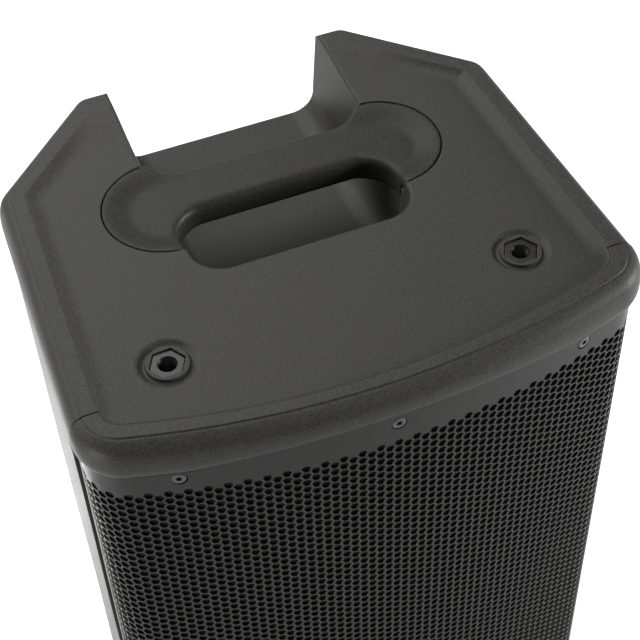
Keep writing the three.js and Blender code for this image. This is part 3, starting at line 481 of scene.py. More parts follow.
def build_grille():
    path_s, path_p = grille_path()

    def at(s, inwards):
        """A point of the sheet at arc length s, moved inwards along the normal."""
        a = abs(s)
        x, y = np.interp(a, path_s, path_p[:, 0]), np.interp(a, path_s, path_p[:, 1])
        step = 1.2
        dx = np.interp(a + step, path_s, path_p[:, 0]) - np.interp(max(a - step, 0), path_s, path_p[:, 0])
        dy = np.interp(a + step, path_s, path_p[:, 1]) - np.interp(max(a - step, 0), path_s, path_p[:, 1])
        if a < step:
            dx, dy = 1.0, 0.0
        n = math.hypot(dx, dy)
        x, y = x - inwards * dy / n, y + inwards * dx / n
        return (math.copysign(x, s) if a > 0 else 0.0), y

    back = len(path_p) // 2
    edge = []
    for y, z in seam_line(-1.4):
        if min(HEIGHT - z, z - BASE_Z) > RIM_LINE_DEPTH + 0.6:
            edge.append((float(np.interp(y, path_p[back:, 1], path_s[back:])), z))
    half = len(edge) // 2
    upper_s, upper_z = edge[half - 1]
    middle = [(upper_s, z) for z in np.arange(upper_z - 6, edge[half][1], -6)]
    edge = edge[:half] + middle + edge[half:]
    steps = 64
    tops = [(s, HEIGHT - grille_depth(at(s, 0)[0]) - 0.5)
            for s in (edge[0][0] * (1 - 2 * i / steps) for i in range(steps + 1))]
    lows = [(s, BASE_Z + HEIGHT - z) for s, z in tops]
    border = tops[::-1] + edge[1:-1] + lows + [(-s, z) for s, z in reversed(edge[1:-1])]

    column = PITCH * math.sqrt(3) / 2
    reach = PITCH / math.sqrt(3)
    wide = edge[len(edge) // 2][0]
    columns = int((wide - 4.2 - reach) / column)
    holes, spare = [], []
    rows = int((HEIGHT - BASE_Z - 2 * HOLE_TOP) / PITCH)
    centre_z = (HEIGHT + BASE_Z) / 2
    screws = [(x * 1.006, z) for _, x, z in grille_screws()]
    for c in range(-columns - 1, columns + 2):
        for r in range(-rows // 2 - 6, rows // 2 + 8):
            s, z = c * column, centre_z + (r + (0.5 if c % 2 else 0.0)) * PITCH
            depth = min(HEIGHT - z, z - BASE_Z)
            clear = all(math.hypot(s - sx, z - sz) > 9.5 for sx, sz in screws)
            if abs(c) <= columns and depth > HOLE_TOP and clear:
                holes.append((s, z))
            elif depth > grille_depth(at(s, 0)[0]) + 5.5 and abs(s) < wide - 4 and clear:
                spare.append((s, z))

    r_out = reach - WEB / math.sqrt(3) + 0.12
    r_in = r_out - 0.28
    shape = [(math.cos(math.radians(60 * i)), math.sin(math.radians(60 * i))) for i in range(6)]
    points = [Vector(p) for p in border]
    loops = [list(range(len(border)))]
    for sx, sz in screws:
        loops.append(list(range(len(points), len(points) + 24)))
        points += [Vector((sx + 4.5 * math.cos(math.pi * i / 12), sz + 4.5 * math.sin(math.pi * i / 12)))
                   for i in range(24)]
    first_hole = len(points)
    for s, z in holes:
        loops.append(list(range(len(points), len(points) + 6)))
        points += [Vector((s + r_out * u, z + r_out * v)) for u, v in shape]
    points += [Vector(p) for p in spare]
    edges = [(loop[i], loop[(i + 1) % len(loop)]) for loop in loops for i in range(len(loop))]
    verts, _, tris, origin, _, _ = delaunay_2d_cdt(points, edges, [], 1, 1e-5)
    lookup = {}
    for new, olds in enumerate(origin):
        for old in olds:
            lookup[old] = new
    owner = np.full(len(verts), -1)
    for k, loop in enumerate(loops[1:]):
        for i in loop:
            owner[lookup[i]] = k
    flat = [t for t in tris if not (owner[t[0]] >= 0 and owner[t[0]] == owner[t[1]] == owner[t[2]])]
    out = [(*at(s, depth), z) for depth in (0.0, GRILLE_THICK) for s, z in verts]
    count = len(verts)
    faces = [tuple(t) for t in flat] + [tuple(v + count for v in reversed(t)) for t in flat]
    for k, loop in enumerate(loops):
        ids = [lookup[i] for i in loop]
        n = len(ids)
        if first_hole <= loop[0]:
            s0 = sum(verts[i][0] for i in ids) / n
            z0 = sum(verts[i][1] for i in ids) / n
            base = len(out)
            for depth in (0.3, GRILLE_THICK - 0.15):
                for u, v in shape:
                    out.append((*at(s0 + r_in * u, depth), z0 + r_in * v))
            for i in range(n):
                j = (i + 1) % n
                faces.append((ids[j], ids[i], base + i, base + j))
                faces.append((base + j, base + i, base + n + i, base + n + j))
                faces.append((base + n + j, base + n + i, ids[i] + count, ids[j] + count))
        else:
            for i in range(n):
                j = (i + 1) % n
                quad = (ids[i], ids[j], ids[j] + count, ids[i] + count)
                faces.append(quad if k == 0 else quad[::-1])
    grille = mesh_object("perforated_grille", out, faces)
    return grille, 2 * wide, edge, at


def build_cloth(wide, edge, at):
    """The cloth glued behind the grille."""
    columns, rows = 120, 60
    z0, z1 = BASE_Z + 37, HEIGHT - 37
    half = wide / 2 - 5
    points, faces = [], []
    for depth in (GRILLE_THICK + 0.06, GRILLE_THICK + 0.26):
        for j in range(rows + 1):
            for i in range(columns + 1):
                s = -half + 2 * half * i / columns
                points.append((*at(s, depth), z0 + (z1 - z0) * j / rows))
    count = (rows + 1) * (columns + 1)
    row = columns + 1
    for j in range(rows):
        for i in range(columns):
            a = j * row + i
            faces.append((a, a + 1, a + row + 1, a + row))
            faces.append(tuple(v + count for v in (a + row, a + row + 1, a + 1, a)))
    rim = (list(range(row)) + [j * row + columns for j in range(1, rows + 1)]
           + [rows * row + i for i in range(columns - 1, -1, -1)] + [j * row for j in range(rows - 1, 0, -1)])
    for a, b in zip(rim, rim[1:] + rim[:1]):
        faces.append((a, a + count, b + count, b))
    return mesh_object("acoustic_cloth", points, faces), (2 * half, z1 - z0)


# ------------------------------------------------------------------ handle

def surface_net(name, field, low, step):
    """A quad mesh of the zero surface of a sampled field, negative inside."""
    inside = field < 0
    nx, ny, nz = field.shape
    sums = np.zeros((nx - 1, ny - 1, nz - 1, 3))
    counts = np.zeros((nx - 1, ny - 1, nz - 1))
    corners = [(i, j, k) for i in (0, 1) for j in (0, 1) for k in (0, 1)]

    def view(c):
        return field[c[0]:c[0] + nx - 1, c[1]:c[1] + ny - 1, c[2]:c[2] + nz - 1]
    for a in corners:
        for b in corners:
            if sum(abs(p - q) for p, q in zip(a, b)) != 1 or a > b:
                continue
            fa, fb = view(a), view(b)
            cross = (fa < 0) != (fb < 0)
            t = np.where(cross, fa / np.where(fa == fb, 1, fa - fb), 0)
            for axis in range(3):
                sums[..., axis] += np.where(cross, a[axis] + t * (b[axis] - a[axis]), 0)
            counts += cross
    used = counts > 0
    index = np.full(used.shape, -1)
    index[used] = np.arange(used.sum())
    base = np.argwhere(used)
    points = (base + sums[used] / counts[used][:, None]) * step + np.array(low)
    faces = []
    for axis in range(3):
        lo = [slice(0, n) for n in field.shape]
        hi = [slice(0, n) for n in field.shape]
        lo[axis], hi[axis] = slice(0, -1), slice(1, None)
        change = inside[tuple(lo)] != inside[tuple(hi)]
        u, v = (axis + 1) % 3, (axis + 2) % 3
        for cell in np.argwhere(change):
            if cell[u] == 0 or cell[v] == 0 or cell[u] >= used.shape[u] or cell[v] >= used.shape[v]:
                continue
            quad = []
            for du, dv in ((0, 0), (-1, 0), (-1, -1), (0, -1)):
                c = list(cell)
                c[u] += du
                c[v] += dv
                quad.append(index[tuple(c)])
            if min(quad) < 0:
                continue
            faces.append(quad if inside[tuple(cell)] else quad[::-1])
    return mesh_object(name, points.tolist(), [[int(i) for i in f] for f in faces])


def box_distance(x, y, cx, cy, hx, hy, r):
    """Signed distance to a rounded rectangle in plan."""
    dx, dy = np.abs(x - cx) - (hx - r), np.abs(y - cy) - (hy - r)
    return np.hypot(np.maximum(dx, 0), np.maximum(dy, 0)) + np.minimum(np.maximum(dx, dy), 0) - r


def edge_round(distance, r):
    """How far a rounded edge has fallen at a distance inside it."""
    e = np.clip(distance, 0, r)
    return r - np.sqrt(r * r - (r - e) ** 2)


def build_handle():
    step = 0.8
    low = (-EAR_X - EAR_R - 3, SLOT_FRONT + 15, BAR_UNDER - 4)
    high = (EAR_X + EAR_R + 3, EAR_Y + EAR_R + 14, PANEL_Z + 4)
    axes = [np.arange(a, b, step) for a, b in zip(low, high)]
    x, y, z = np.meshgrid(*axes, indexing="ij")
    ax = np.abs(x)
    seam = 0.55
    disc = np.hypot(ax - EAR_X, y - EAR_Y) - (EAR_R - seam)
    bar = box_distance(x, y, 0, (SLOT_BACK + BAR_BACK) / 2, EAR_X - 4, (BAR_BACK - SLOT_BACK) / 2 + 30, 20)
    plan = np.minimum(disc, bar)
    slot = box_distance(x, y, 0, (SLOT_FRONT + SLOT_BACK) / 2, SLOT_HALF, (SLOT_BACK - SLOT_FRONT) / 2,
                        SLOT_CORNER)
    behind = box_distance(x, y, 0, BAR_BACK + 80, NOTCH_HALF - seam, 80, 21)
    # the low part of the bar stays between the walls of the well
    half = SLOT_HALF + (NOTCH_HALF - SLOT_HALF) * smoothstep((y - SLOT_BACK + WELL_STEP) / 6)
    over_well = ax - (half - seam - 0.75 - WELL_DRAFT * (PANEL_Z - z))
    # the top: flat along the bar, dished in the ears behind a low lip beside the seam
    blend = np.clip(0.5 + (bar - disc) / 40, 0, 1)
    soft = bar * (1 - blend) + disc * blend - 20 * blend * (1 - blend)
    drop = 0.35 + 4.3 * smoothstep((-soft - 0.5) / 17)
    front_r = 6.8 - 2.6 * smoothstep((ax - 48) / 14)
    top = PANEL_Z - drop - edge_round(slot, front_r) - edge_round(behind, 1.8)
    ear_under = PANEL_Z - 8.3
    under = BAR_UNDER + edge_round(slot, front_r - 1) + edge_round(behind, 7.0)
    bar_part = np.maximum(under - z, over_well)
    field = np.maximum.reduce([z - top, plan, -slot, -behind, np.minimum(ear_under - z, bar_part)])
    handle = surface_net("handle_grip_moulding", field, low, step)
    mod = handle.modifiers.new("soften", "SMOOTH")
    mod.factor = 0.5
    mod.iterations = 3
    apply_modifiers(handle)
    return handle


# ------------------------------------------------------------------ small metal parts

def threaded_bore(r, depth):
    """Profile of a bore with a chamfered mouth and thread grooves, (radius, depth below the face)."""
    pitch, mouth = 1.5, 0.9
    points = [(r + mouth, 0.0), (r + 0.45, mouth)]
    d = mouth
    while d < depth:
        points += [(r + 0.05, d + pitch * 0.45), (r + 0.75, d + pitch * 0.95)]
        d += pitch
    return points


def build_insert(name, centre, out, axis="z"):
    """A hexagonal threaded insert with its face towards out."""
    x, y, z = centre
    sign = 1 if out > 0 else -1
    face = z if axis == "z" else y
    body = prism(name, hexagon(x, y if axis == "z" else z, INSERT_FLATS),
                 *sorted((face, face - sign * 24)), axis)
    bevel_edges(body, 0.7, 2)
    profile = [(0, -6), (15, -6), (15, -9), (0, -9)]
    plate = turned("plate", [(r, sign * h) for r, h in profile], centre, axis, 40)
    boolean(body, [plate], "UNION")
    bore = [(0, 3), (6.0, 3)] + [(r, -d) for r, d in threaded_bore(4.7, 20)] + [(4.7, -25), (0, -25)]
    boolean(body, [turned("bore", [(r, sign * h) for r, h in bore], centre, axis, 40)])
    return shade(body, 30)


def build_screw(node, x, z):
    """A countersunk screw with a six-lobe recess."""
    head = [(0, 0.62), (3.3, 0.62), (3.75, 0.7), (4.1, 0.95), (4.2, 1.25), (2.2, 3.1), (1.95, 3.4),
            (1.95, 12), (0, 12)]
    screw = along_bow(node + "_body", [(r, d - 0.5) for r, d in head], x, z, 40)
    lobes = []
    for a in (math.radians(10 * i) for i in range(36)):
        r = 1.62 + 0.42 * math.cos(6 * a)
        lobes.append((r * math.cos(a), r * math.sin(a)))
    socket = prism("socket", lobes, -2, 1.9, "y")
    socket.data.transform(on_bow(x, z))
    boolean(screw, [socket])
    return shade(screw, 30)


# ------------------------------------------------------------------ rear panel

AMP_BACK, AMP_THICK = 140.3, 3.0
SOCKET_FACE = AMP_BACK + 2.7
CONTROL_X, GAIN_Z, COMBO_Z, LINE_OUT_Z = 30, 318.0, 278.0, 224
ENCODER_X, DISPLAY_Z = -50.0, 372.0


def merged(name, parts):
    """One object from several painted parts."""
    edit = bmesh.new()
    materials = []
    for part, material in parts:
        start = len(edit.faces)
        edit.from_mesh(part.data)
        edit.faces.ensure_lookup_table()
        materials.append(material)
        for face in edit.faces[start:]:
            face.material_index = len(materials) - 1
        bpy.data.objects.remove(part)
    mesh = bpy.data.meshes.new(name)
    edit.to_mesh(mesh)
    edit.free()
    for material in materials:
        mesh.materials.append(material)
    obj = bpy.data.objects.new(name, mesh)
    bpy.context.scene.collection.objects.link(obj)
    return obj


def disc(name, x, z, r, y0, y1, segments=48):
    return turned(name, [(0, y0), (r, y0), (r, y1), (0, y1)], (x, 0, z), "y", segments)


def panel_screw(x, z):
    y = AMP_BACK
    profile = [(0, 0.9), (1.9, 0.9), (2.7, 0.65), (3.1, 0), (3.1, -0.1), (0, -0.1)]
    head = turned("head", [(r, y + h) for r, h in profile], (x, 0, z), "y", 32)
    cross = box_body("cross", (x - 1.7, y + 0.25, z - 0.35), (x + 1.7, y + 2, z + 0.35))
    boolean(cross, [box_body("cross_2", (x - 0.35, y + 0.25, z - 1.7), (x + 0.35, y + 2, z + 1.7))], "UNION")
    return boolean(head, [cross])


def build_panel(materials):
    plate = prism("rear_panel", rounded_rect(0, 240, 75.6, 171.6, 2), AMP_BACK - AMP_THICK, AMP_BACK, "y")
    bevel_edges(plate, 0.5, 2)
    display, inlet, switch = (0, DISPLAY_Z, 28.4, 19.4), (24, 106, 14.4, 10.4), (-34, 106, 8.4, 12.4)
    cutters = [prism("window_cut", rounded_rect(*window, 0.6), 120, 160, "y")
               for window in (display, inlet, switch)]
    holes = [(ENCODER_X, DISPLAY_Z, 3.6), (CONTROL_X, GAIN_Z, 3.4), (-CONTROL_X, GAIN_Z, 3.4),
             (CONTROL_X, COMBO_Z, 12.6), (-CONTROL_X, COMBO_Z, 12.6), (0, LINE_OUT_Z, 12.6)]
    cutters += [disc("round_cut", x, z, r, 120, 160) for x, z, r in holes]
    # a shallow groove round each group of controls; the inputs' is open at its lower end
    inputs = (288, 56, 47)
    for cz, hx, hz in (inputs, (DISPLAY_Z, 66, 27), (LINE_OUT_Z, 24, 18), (106, 56, 21)):
        outer = prism("groove", rounded_rect(0, cz, hx, hz, 5), AMP_BACK - 0.4, 160, "y")
        boolean(outer, [prism("groove_in", rounded_rect(0, cz, hx - 0.7, hz - 0.7, 4.4), 130, 165, "y")])
        if (cz, hx, hz) == inputs:
            boolean(outer, [box_body("clear", (-80, 130, 240), (80, 165, 246))])
        cutters.append(outer)
    boolean(plate, cutters)
    parts = [(plate, materials["panel"])]
    for x in (-CONTROL_X, CONTROL_X):
        for k in range(11):
            a = math.radians(-150 + 30 * k)
            sx, sz = x + 10.2 * math.sin(a), GAIN_Z + 10.2 * math.cos(a)
            tick = disc("tick", sx, sz, 0.5, AMP_BACK - 0.3, AMP_BACK + 0.12, 12)
            parts.append((tick, materials["marking"]))
    for x in (-71, 71):
        for z in (74, 184, 296, 406):
            parts.append((panel_screw(x, z), materials["screw"]))
    return shade(merged("rear_panel_moulding", parts), 30)


def fluted(name, x, z, r, y0, y1, flutes, depth=0.28):
    outline = []
    steps = flutes * 6
    for i in range(steps):
        a = 2 * math.pi * i / steps
        radius = r - depth * (0.5 + 0.5 * math.cos(flutes * a))
        outline.append((x + radius * math.cos(a), z + radius * math.sin(a)))
    return prism(name, outline, y0, y1, "y")


def build_gain_knob(name, x, materials):
    y = AMP_BACK + 0.4
    body = fluted("skirt", x, GAIN_Z, 6.4, y + 1.5, y + 7.9, 18)
    cap = turned("cap", [(0, y + 8.6), (5.0, y + 8.6), (5.7, y + 7.9), (5.7, y + 7.0), (0, y + 7.0)],
                 (x, 0, GAIN_Z), "y", 48)
    profile = [(0, 1.9), (6.2, 1.9), (7, 0.7), (7, 0), (2.9, 0), (2.9, -12), (0, -12)]
    flange = turned("flange", [(r, y + h) for r, h in profile], (x, 0, GAIN_Z), "y", 48)
    boolean(body, [cap, flange], "UNION")
    boolean(body, [box_body("pointer_slot", (x - 0.6, y + 8.2, GAIN_Z + 0.8), (x + 0.6, y + 12, GAIN_Z + 8))])
    pointer = box_body("pointer", (x - 0.55, y + 8.0, GAIN_Z + 1.0), (x + 0.55, y + 8.4, GAIN_Z + 4.8))
    return shade(merged(name, [(body, materials["knob"]), (pointer, materials["marking"])]), 30)


def build_encoder_knob(materials):
    y = AMP_BACK + 1.4
    body = fluted("encoder_skirt", ENCODER_X, DISPLAY_Z, 9.5, y + 0.6, y + 7.2, 30, 0.3)
    centre = (ENCODER_X, 0, DISPLAY_Z)
    profile = [(0, 7.6), (6.6, 7.6), (7.2, 8), (8.4, 8), (9.0, 7.3), (9.0, 6), (0, 6)]
    cap = turned("encoder_cap_face", [(r, y + h) for r, h in profile], centre, "y", 64)
    foot = turned("encoder_foot", [(0, y + 1), (9.2, y + 1), (9.0, y), (0, y)], centre, "y", 64)
    boolean(body, [cap, foot], "UNION")
    boolean(body, [disc("shaft_hole", ENCODER_X, DISPLAY_Z, 3.3, y - 2, y + 3)])
    return shade(merged("encoder_knob_cap", [(body, materials["knob"])]), 30)


def socket_shell(x, z):
    shell = prism("socket_flange", rounded_rect(x, z, 13, 15.5, 3), AMP_BACK + 0.3, SOCKET_FACE, "y")
    bevel_edges(shell, 0.5, 3)
    boolean(shell, [disc("barrel", x, z, 11.8, 114, AMP_BACK + 2, 64)], "UNION")
    return shell


def pin_places(x, z, r):
    """The (x, z) places of a socket's three contacts."""
    return [(x + r * math.cos(a), z + r * math.sin(a)) for a in map(math.radians, (90, 210, 330))]


def fixing_hole(x, z):
    return disc("fixing_hole", x, z, 1.5, SOCKET_FACE - 1.2, 160, 24)


def build_combo_jack(name, x, materials):
    shell = socket_shell(x, COMBO_Z)
    profile = [(7.9, -14), (10, -14), (10, -0.6), (10.6, 0.1), (10.6, 5), (7.4, 5), (7.4, -0.1),
               (7.9, -0.7), (7.9, -14)]
    groove = turned("groove", [(r, SOCKET_FACE + h) for r, h in profile], (x, 0, COMBO_Z), "y", 64)
    cutters = [groove, disc("jack_hole", x, COMBO_Z, 3.3, 118, 160),
               box_body("tab_pocket", (x - 4.3, SOCKET_FACE - 1.9, COMBO_Z + 11),
                        (x + 4.3, 160, COMBO_Z + 14.6))]
    cutters += [disc("pin_hole", px, pz, 1.2, SOCKET_FACE - 12, 160, 20)
                for px, pz in pin_places(x, COMBO_Z, 5.6)]
    cutters += [fixing_hole(x + side * 10.2, COMBO_Z - 12.6) for side in (-1, 1)]
    boolean(shell, cutters)
    return shade(merged(name, [(shell, materials["socket"])]), 30)


def build_line_out(materials):
    z = LINE_OUT_Z
    shell = socket_shell(0, z)
    profile = [(0, -14), (9.6, -14), (9.6, -0.7), (10.3, 0.1), (10.3, 5), (0, 5)]
    cup = turned("cup", [(r, SOCKET_FACE + h) for r, h in profile], (0, 0, z), "y", 64)
    holes = [fixing_hole(side * 10.2, z - side * 12.6) for side in (-1, 1)]
    boolean(shell, [cup] + holes)
    parts = [(shell, materials["socket"])]
    y0, y1 = SOCKET_FACE - 15, SOCKET_FACE - 5
    contact = [(0, y0), (1.2, y0), (1.2, y1 - 0.8), (0.6, y1), (0, y1)]
    for px, pz in pin_places(0, z, 4.2):
        parts.append((turned("pin", contact, (px, 0, pz), "y", 20), materials["steel"]))
    return shade(merged("line_out_connector", parts), 30)


def build_foot(name, x, y):
    profile = [(0, 0.3), (4, 0.3), (4.6, 0), (9, 0), (10.3, 0.35), (11, 1.5), (11, 7.7), (3, 7.7), (3, 12.5),
               (4.4, 12.5), (0, 16)]
    return shade(turned(name, profile, (x, y, 0), "z", 48), 40)


# ------------------------------------------------------------------ materials

def node_material(name, base, roughness, metallic=0.0, specular=0.5):
    """A Principled material; returns it with its tree, shader and object coordinates."""
    material = bpy.data.materials.new(name)
    material.use_nodes = True
    tree = material.node_tree
    shader = tree.nodes["Principled BSDF"]
    shader.inputs["Base Color"].default_value = (*base, 1)
    shader.inputs["Roughness"].default_value = roughness
    shader.inputs["Metallic"].default_value = metallic
    shader.inputs["Specular IOR Level"].default_value = specular
    coords = tree.nodes.new("ShaderNodeTexCoord")
    return material, tree, shader, coords.outputs["Object"]


def noise(tree, coords, scale, detail=4.0, rough=0.55):
    node = tree.nodes.new("ShaderNodeTexNoise")
    node.inputs["Scale"].default_value = scale
    node.inputs["Detail"].default_value = detail
    node.inputs["Roughness"].default_value = rough
    tree.links.new(coords, node.inputs["Vector"])
    return node.outputs["Fac"]


def remap(tree, value, low, high, to_low, to_high):
    node = tree.nodes.new("ShaderNodeMapRange")
    node.inputs["From Min"].default_value = low
    node.inputs["From Max"].default_value = high
    node.inputs["To Min"].default_value = to_low
    node.inputs["To Max"].default_value = to_high
    tree.links.new(value, node.inputs["Value"])
    return node.outputs["Result"]


def colour_between(tree, value, a, b):
    node = tree.nodes.new("ShaderNodeMix")
    node.data_type = "RGBA"
    node.inputs["A"].default_value = (*a, 1)
    node.inputs["B"].default_value = (*b, 1)
    tree.links.new(value, node.inputs["Factor"])
    return node.outputs["Result"]


def add_bump(tree, shader, height, strength, distance):
    node = tree.nodes.new("ShaderNodeBump")
    node.inputs["Strength"].default_value = strength
    node.inputs["Distance"].default_value = distance * MM
    tree.links.new(height, node.inputs["Height"])
    tree.links.new(node.outputs["Normal"], shader.inputs["Normal"])


def scaled(colour, factor):
    return tuple(c * factor for c in colour)


def grained_plastic(name, base, roughness, grain, strength, depth, specular):
    """Moulded plastic: a fine pebble grain, and slow changes of tone and gloss."""
    material, tree, shader, coords = node_material(name, base, roughness, specular=specular)
    slow = noise(tree, coords, 22, 3)
    fine = noise(tree, coords, grain, 3, 0.6)
    tone = colour_between(tree, remap(tree, slow, 0.3, 0.7, 0, 1), scaled(base, 0.94), scaled(base, 1.07))
    speckle = colour_between(tree, remap(tree, fine, 0.35, 0.65, 0, 1), scaled(base, 0.62), scaled(base, 1.45))
    mixed = tree.nodes.new("ShaderNodeMix")
    mixed.data_type = "RGBA"
    mixed.inputs["Factor"].default_value = 0.8
    tree.links.new(tone, mixed.inputs["A"])
    tree.links.new(speckle, mixed.inputs["B"])
    tree.links.new(mixed.outputs["Result"], shader.inputs["Base Color"])
    gloss = remap(tree, fine, 0.25, 0.75, roughness - 0.06, roughness + 0.08)
    tree.links.new(gloss, shader.inputs["Roughness"])
    add_bump(tree, shader, fine, strength, depth)
    return material


def metal(name, base, roughness):
    """Bare metal with slow changes of gloss and fine handling marks."""
    material, tree, shader, coords = node_material(name, base, roughness, metallic=1.0)
    marks = noise(tree, coords, 500, 5, 0.6)
    tree.links.new(remap(tree, marks, 0.3, 0.7, roughness - 0.07, roughness + 0.1), shader.inputs["Roughness"])
    tone = colour_between(tree, marks, scaled(base, 0.9), scaled(base, 1.1))
    tree.links.new(tone, shader.inputs["Base Color"])
    add_bump(tree, shader, marks, 0.12, 0.02)
    return material


def fibrous(name, base, roughness, scale, depth):
    """Cloth, felt or paper: matt, uneven in tone and rough to the touch."""
    material, tree, shader, coords = node_material(name, base, roughness, specular=0.15)
    fibre = noise(tree, coords, scale, 8, 0.75)
    tone = colour_between(tree, remap(tree, fibre, 0.3, 0.7, 0, 1), scaled(base, 0.6), scaled(base, 1.4))
    tree.links.new(tone, shader.inputs["Base Color"])
    add_bump(tree, shader, fibre, 0.6, depth)
    return material


PLASTIC_BASE = (0.030, 0.0295, 0.0275)
BLACK = (0.012, 0.012, 0.012)

# name, colour, roughness, grain, strength and depth of the bump, specular
PLASTICS = {
    "cabinet": ("cabinet_moulded_plastic", PLASTIC_BASE, 0.48, 900, 1.0, 0.16, 0.14),
    "handle": ("handle_moulded_plastic", scaled(PLASTIC_BASE, 0.72), 0.42, 850, 0.9, 0.16, 0.11),
    "grille": ("grille_powder_coat", (0.0115, 0.0114, 0.0108), 0.4, 2600, 0.3, 0.03, 0.2),
    "dark_metal": ("blackened_steel", (0.012, 0.0105, 0.0095), 0.34, 900, 0.15, 0.02, 0.3),
    "screw": ("black_oxide_screw", (0.02, 0.02, 0.02), 0.3, 900, 0.1, 0.02, 0.6),
    "panel": ("rear_panel_plastic", scaled(BLACK, 1.2), 0.42, 1800, 0.35, 0.04, 0.35),
    "socket": ("socket_plastic", BLACK, 0.36, 1800, 0.2, 0.02, 0.4),
    "knob": ("knob_plastic", scaled(BLACK, 1.4), 0.48, 1800, 0.2, 0.02, 0.35),
    "marking": ("white_marking", (0.62, 0.62, 0.6), 0.6, 900, 0.05, 0.01, 0.3),
    "rubber": ("foot_rubber", (0.009, 0.009, 0.009), 0.75, 700, 0.5, 0.12, 0.25),
    "surround": ("surround_rubber", (0.011, 0.011, 0.011), 0.6, 500, 0.2, 0.05, 0.3),
    "horn": ("horn_plastic", (0.014, 0.014, 0.0135), 0.4, 1500, 0.3, 0.04, 0.35),
    "basket": ("basket_enamel", (0.013, 0.013, 0.014), 0.34, 600, 0.3, 0.05, 0.5),
    "sleeve": ("capacitor_sleeve", (0.01, 0.014, 0.05), 0.3, 400, 0.05, 0.01, 0.5),
    "lead": ("lead_sheath", (0.012, 0.012, 0.012), 0.5, 600, 0.2, 0.03, 0.4),
    "laminate": ("board_laminate", (0.01, 0.085, 0.03), 0.35, 300, 0.1, 0.02, 0.5),
    "glass": ("display_glass", (0.003, 0.004, 0.006), 0.08, 60, 0.02, 0.005, 0.6),
    "ferrite": ("magnet_ferrite", (0.02, 0.02, 0.022), 0.6, 250, 0.5, 0.15, 0.3),
}

# name, colour, roughness
METALS = {
    "steel": ("plated_steel", (0.56, 0.56, 0.55), 0.3),
    "aluminium": ("bright_aluminium", (0.6, 0.6, 0.61), 0.36),
    "copper": ("coil_copper", (0.72, 0.36, 0.2), 0.35),
}

# name, colour, roughness, scale of the fibres, depth of the bump
FIBRES = {
    "cloth": ("acoustic_cloth_weave", (0.012, 0.0115, 0.011), 0.95, 3000, 0.1),
    "paper": ("cone_paper", (0.014, 0.014, 0.0135), 0.85, 900, 0.2),
    "fabric": ("spider_fabric", (0.42, 0.27, 0.1), 0.9, 1200, 0.15),
    "wadding": ("polyester_wadding", (0.3, 0.3, 0.29), 0.98, 350, 1.5),
}

# the finish of each node that is shown as the CAD has it
NODES_BY_FINISH = {
    "basket": ("woofer_basket",),
    "steel": ("woofer_front_plate", "woofer_back_plate", "encoder_body", "encoder_plunger",
              "jack_latch_tab_1", "jack_latch_tab_2"),
    "ferrite": ("woofer_magnet", "driver_body"),
    "paper": ("woofer_cone", "woofer_dust_cap"),
    "surround": ("woofer_surround",),
    "fabric": ("woofer_spider",),
    "copper": ("voice_coil",),
    "horn": ("horn_waveguide", "port_tube_left", "port_tube_right"),
    "aluminium": ("driver_diaphragm", "heat_sink"),
    "socket": ("driver_cover", "mains_inlet", "switch_housing", "pole_socket"),
    "glass": ("display_window",),
    "laminate": ("display_module", "amplifier_board", "power_supply_board"),
    "knob": ("switch_rocker",),
    "sleeve": ("reservoir_capacitor",),
    "wadding": ("damping_pad_left", "damping_pad_right"),
    "lead": ("woofer_lead", "driver_lead"),
}


def build_materials():
    materials = {}
    for make, finishes in ((grained_plastic, PLASTICS), (metal, METALS), (fibrous, FIBRES)):
        for key, settings in finishes.items():
            materials[key] = make(*settings)
    return materials


def paint(obj, material):
    obj.data.materials.clear()
    obj.data.materials.append(material)


# ------------------------------------------------------------------ stage, light and camera

CAMERA_AT = (-208.9, -604.1, 1211.4)
CAMERA_TURN = (41.79, 1.676, -21.919)
CAMERA_LENS = 86.32


def build_stage():
    scene = bpy.context.scene
    camera = bpy.data.objects.new("camera", bpy.data.cameras.new("camera"))
    scene.collection.objects.link(camera)
    camera.location = Vector(CAMERA_AT) * MM
    camera.rotation_euler = [math.radians(a) for a in CAMERA_TURN]
    camera.data.sensor_width = 36
    camera.data.lens = CAMERA_LENS
    camera.data.clip_start = 0.05
    scene.camera = camera

    floor = mesh_object("floor", [(-6000, -6000, 0), (6000, -6000, 0), (6000, 6000, 0), (-6000, 6000, 0)],
                        [(0, 1, 2, 3)])
    paint(floor, node_material("floor_paper", (0.85, 0.85, 0.85), 0.9, specular=0.1)[0])

    world = bpy.data.worlds.new("studio")
    scene.world = world
    world.use_nodes = True
    world.node_tree.nodes["Background"].inputs["Color"].default_value = (1, 1, 1, 1)
    world.node_tree.nodes["Background"].inputs["Strength"].default_value = 0.24
    area_light("back_wash", (-0.7, 1.7, 2.0), (0.0, 1.6, 0.0), 2.8, 112)
    area_light("left_floor", (-0.4, 0.35, 0.5), (-0.35, 0.35, 0.0), 0.3, 2.5, 50)
    area_light("left_low", (-1.9, -0.75, 0.3), (-0.1, -0.1, 0.5), 0.4, 26)
    area_light("right_front", (2.5, -0.9, 1.0), (0.1, -0.1, 0.5), 0.7, 120)
    scene.view_settings.view_transform = "Standard"


def area_light(name, place, target, size, power, spread=180):
    light = bpy.data.lights.new(name, "AREA")
    light.shape = "SQUARE"
    light.size = size
    light.energy = power
    light.spread = math.radians(spread)
    obj = bpy.data.objects.new(name, light)
    bpy.context.scene.collection.objects.link(obj)
    obj.location = place
    obj.rotation_euler = (Vector(target) - Vector(place)).to_track_quat("-Z", "Y").to_euler()


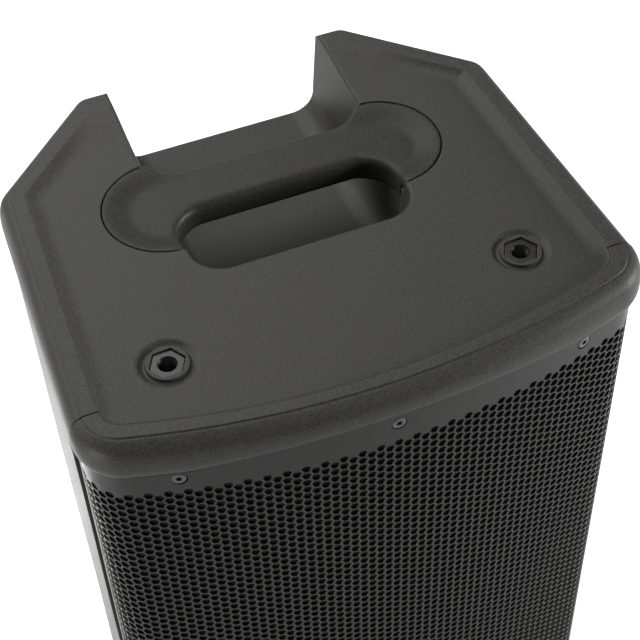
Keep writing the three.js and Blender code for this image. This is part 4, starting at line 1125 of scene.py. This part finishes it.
# ------------------------------------------------------------------ assembly

def stand_for(obj, node, body, material=None):
    """Puts an object in a CAD node's place; one that already carries its materials is not painted."""
    if material:
        paint(obj, material)
    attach(obj, body)
    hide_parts(node)


def main():
    build_stage()
    materials = build_materials()
    stand_for(shade(build_shell()), "rear_cabinet", CABINET, materials["cabinet"])
    stand_for(shade(build_bezel()), "front_baffle", CABINET, materials["cabinet"])
    grille, wide, edge, at = build_grille()
    stand_for(shade(grille, 40), "grille", CABINET, materials["grille"])
    cloth, flat = build_cloth(wide, edge, at)
    stand_for(shade(cloth), "grille_cloth", CABINET, materials["cloth"])
    handle = build_handle()
    handle.data.shade_smooth()
    stand_for(handle, "handle_grip", CABINET, materials["handle"])
    for side, x in (("left", -INSERT_X), ("right", INSERT_X)):
        for level, z, out in (("top", PANEL_Z - 1.1, 1), ("bottom", BASE_Z + 1.1, -1)):
            node = f"{level}_insert_{side}"
            stand_for(build_insert(node + "_body", (x, INSERT_Y, z), out), node, CABINET,
                      materials["dark_metal"])
    stand_for(build_insert("rear_insert_body", (0, 149, REAR_INSERT_Z), 1, "y"), "rear_insert", CABINET,
              materials["dark_metal"])
    for node, x, z in grille_screws():
        stand_for(build_screw(node, x, z), node, CABINET, materials["screw"])
    stand_for(build_panel(materials), "amplifier_panel", CABINET)
    for number, x in ((1, CONTROL_X), (2, -CONTROL_X)):
        knob = build_gain_knob(f"gain_knob_{number}_cap", x, materials)
        stand_for(knob, f"gain_knob_{number}", f"gain_{number}")
        jack = build_combo_jack(f"combo_jack_{number}_body", x, materials)
        stand_for(jack, f"combo_jack_{number}", CABINET)
    stand_for(build_encoder_knob(materials), "encoder_knob", "encoder_cap")
    stand_for(build_line_out(materials), "line_out_socket", CABINET)
    for number, (x, y) in enumerate(FEET, 1):
        foot = build_foot(f"rubber_foot_{number}_pad", x, y)
        stand_for(foot, f"rubber_foot_{number}", CABINET, materials["rubber"])
    for finish, names in NODES_BY_FINISH.items():
        for name in names:
            paint(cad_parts[name], materials[finish])


main()
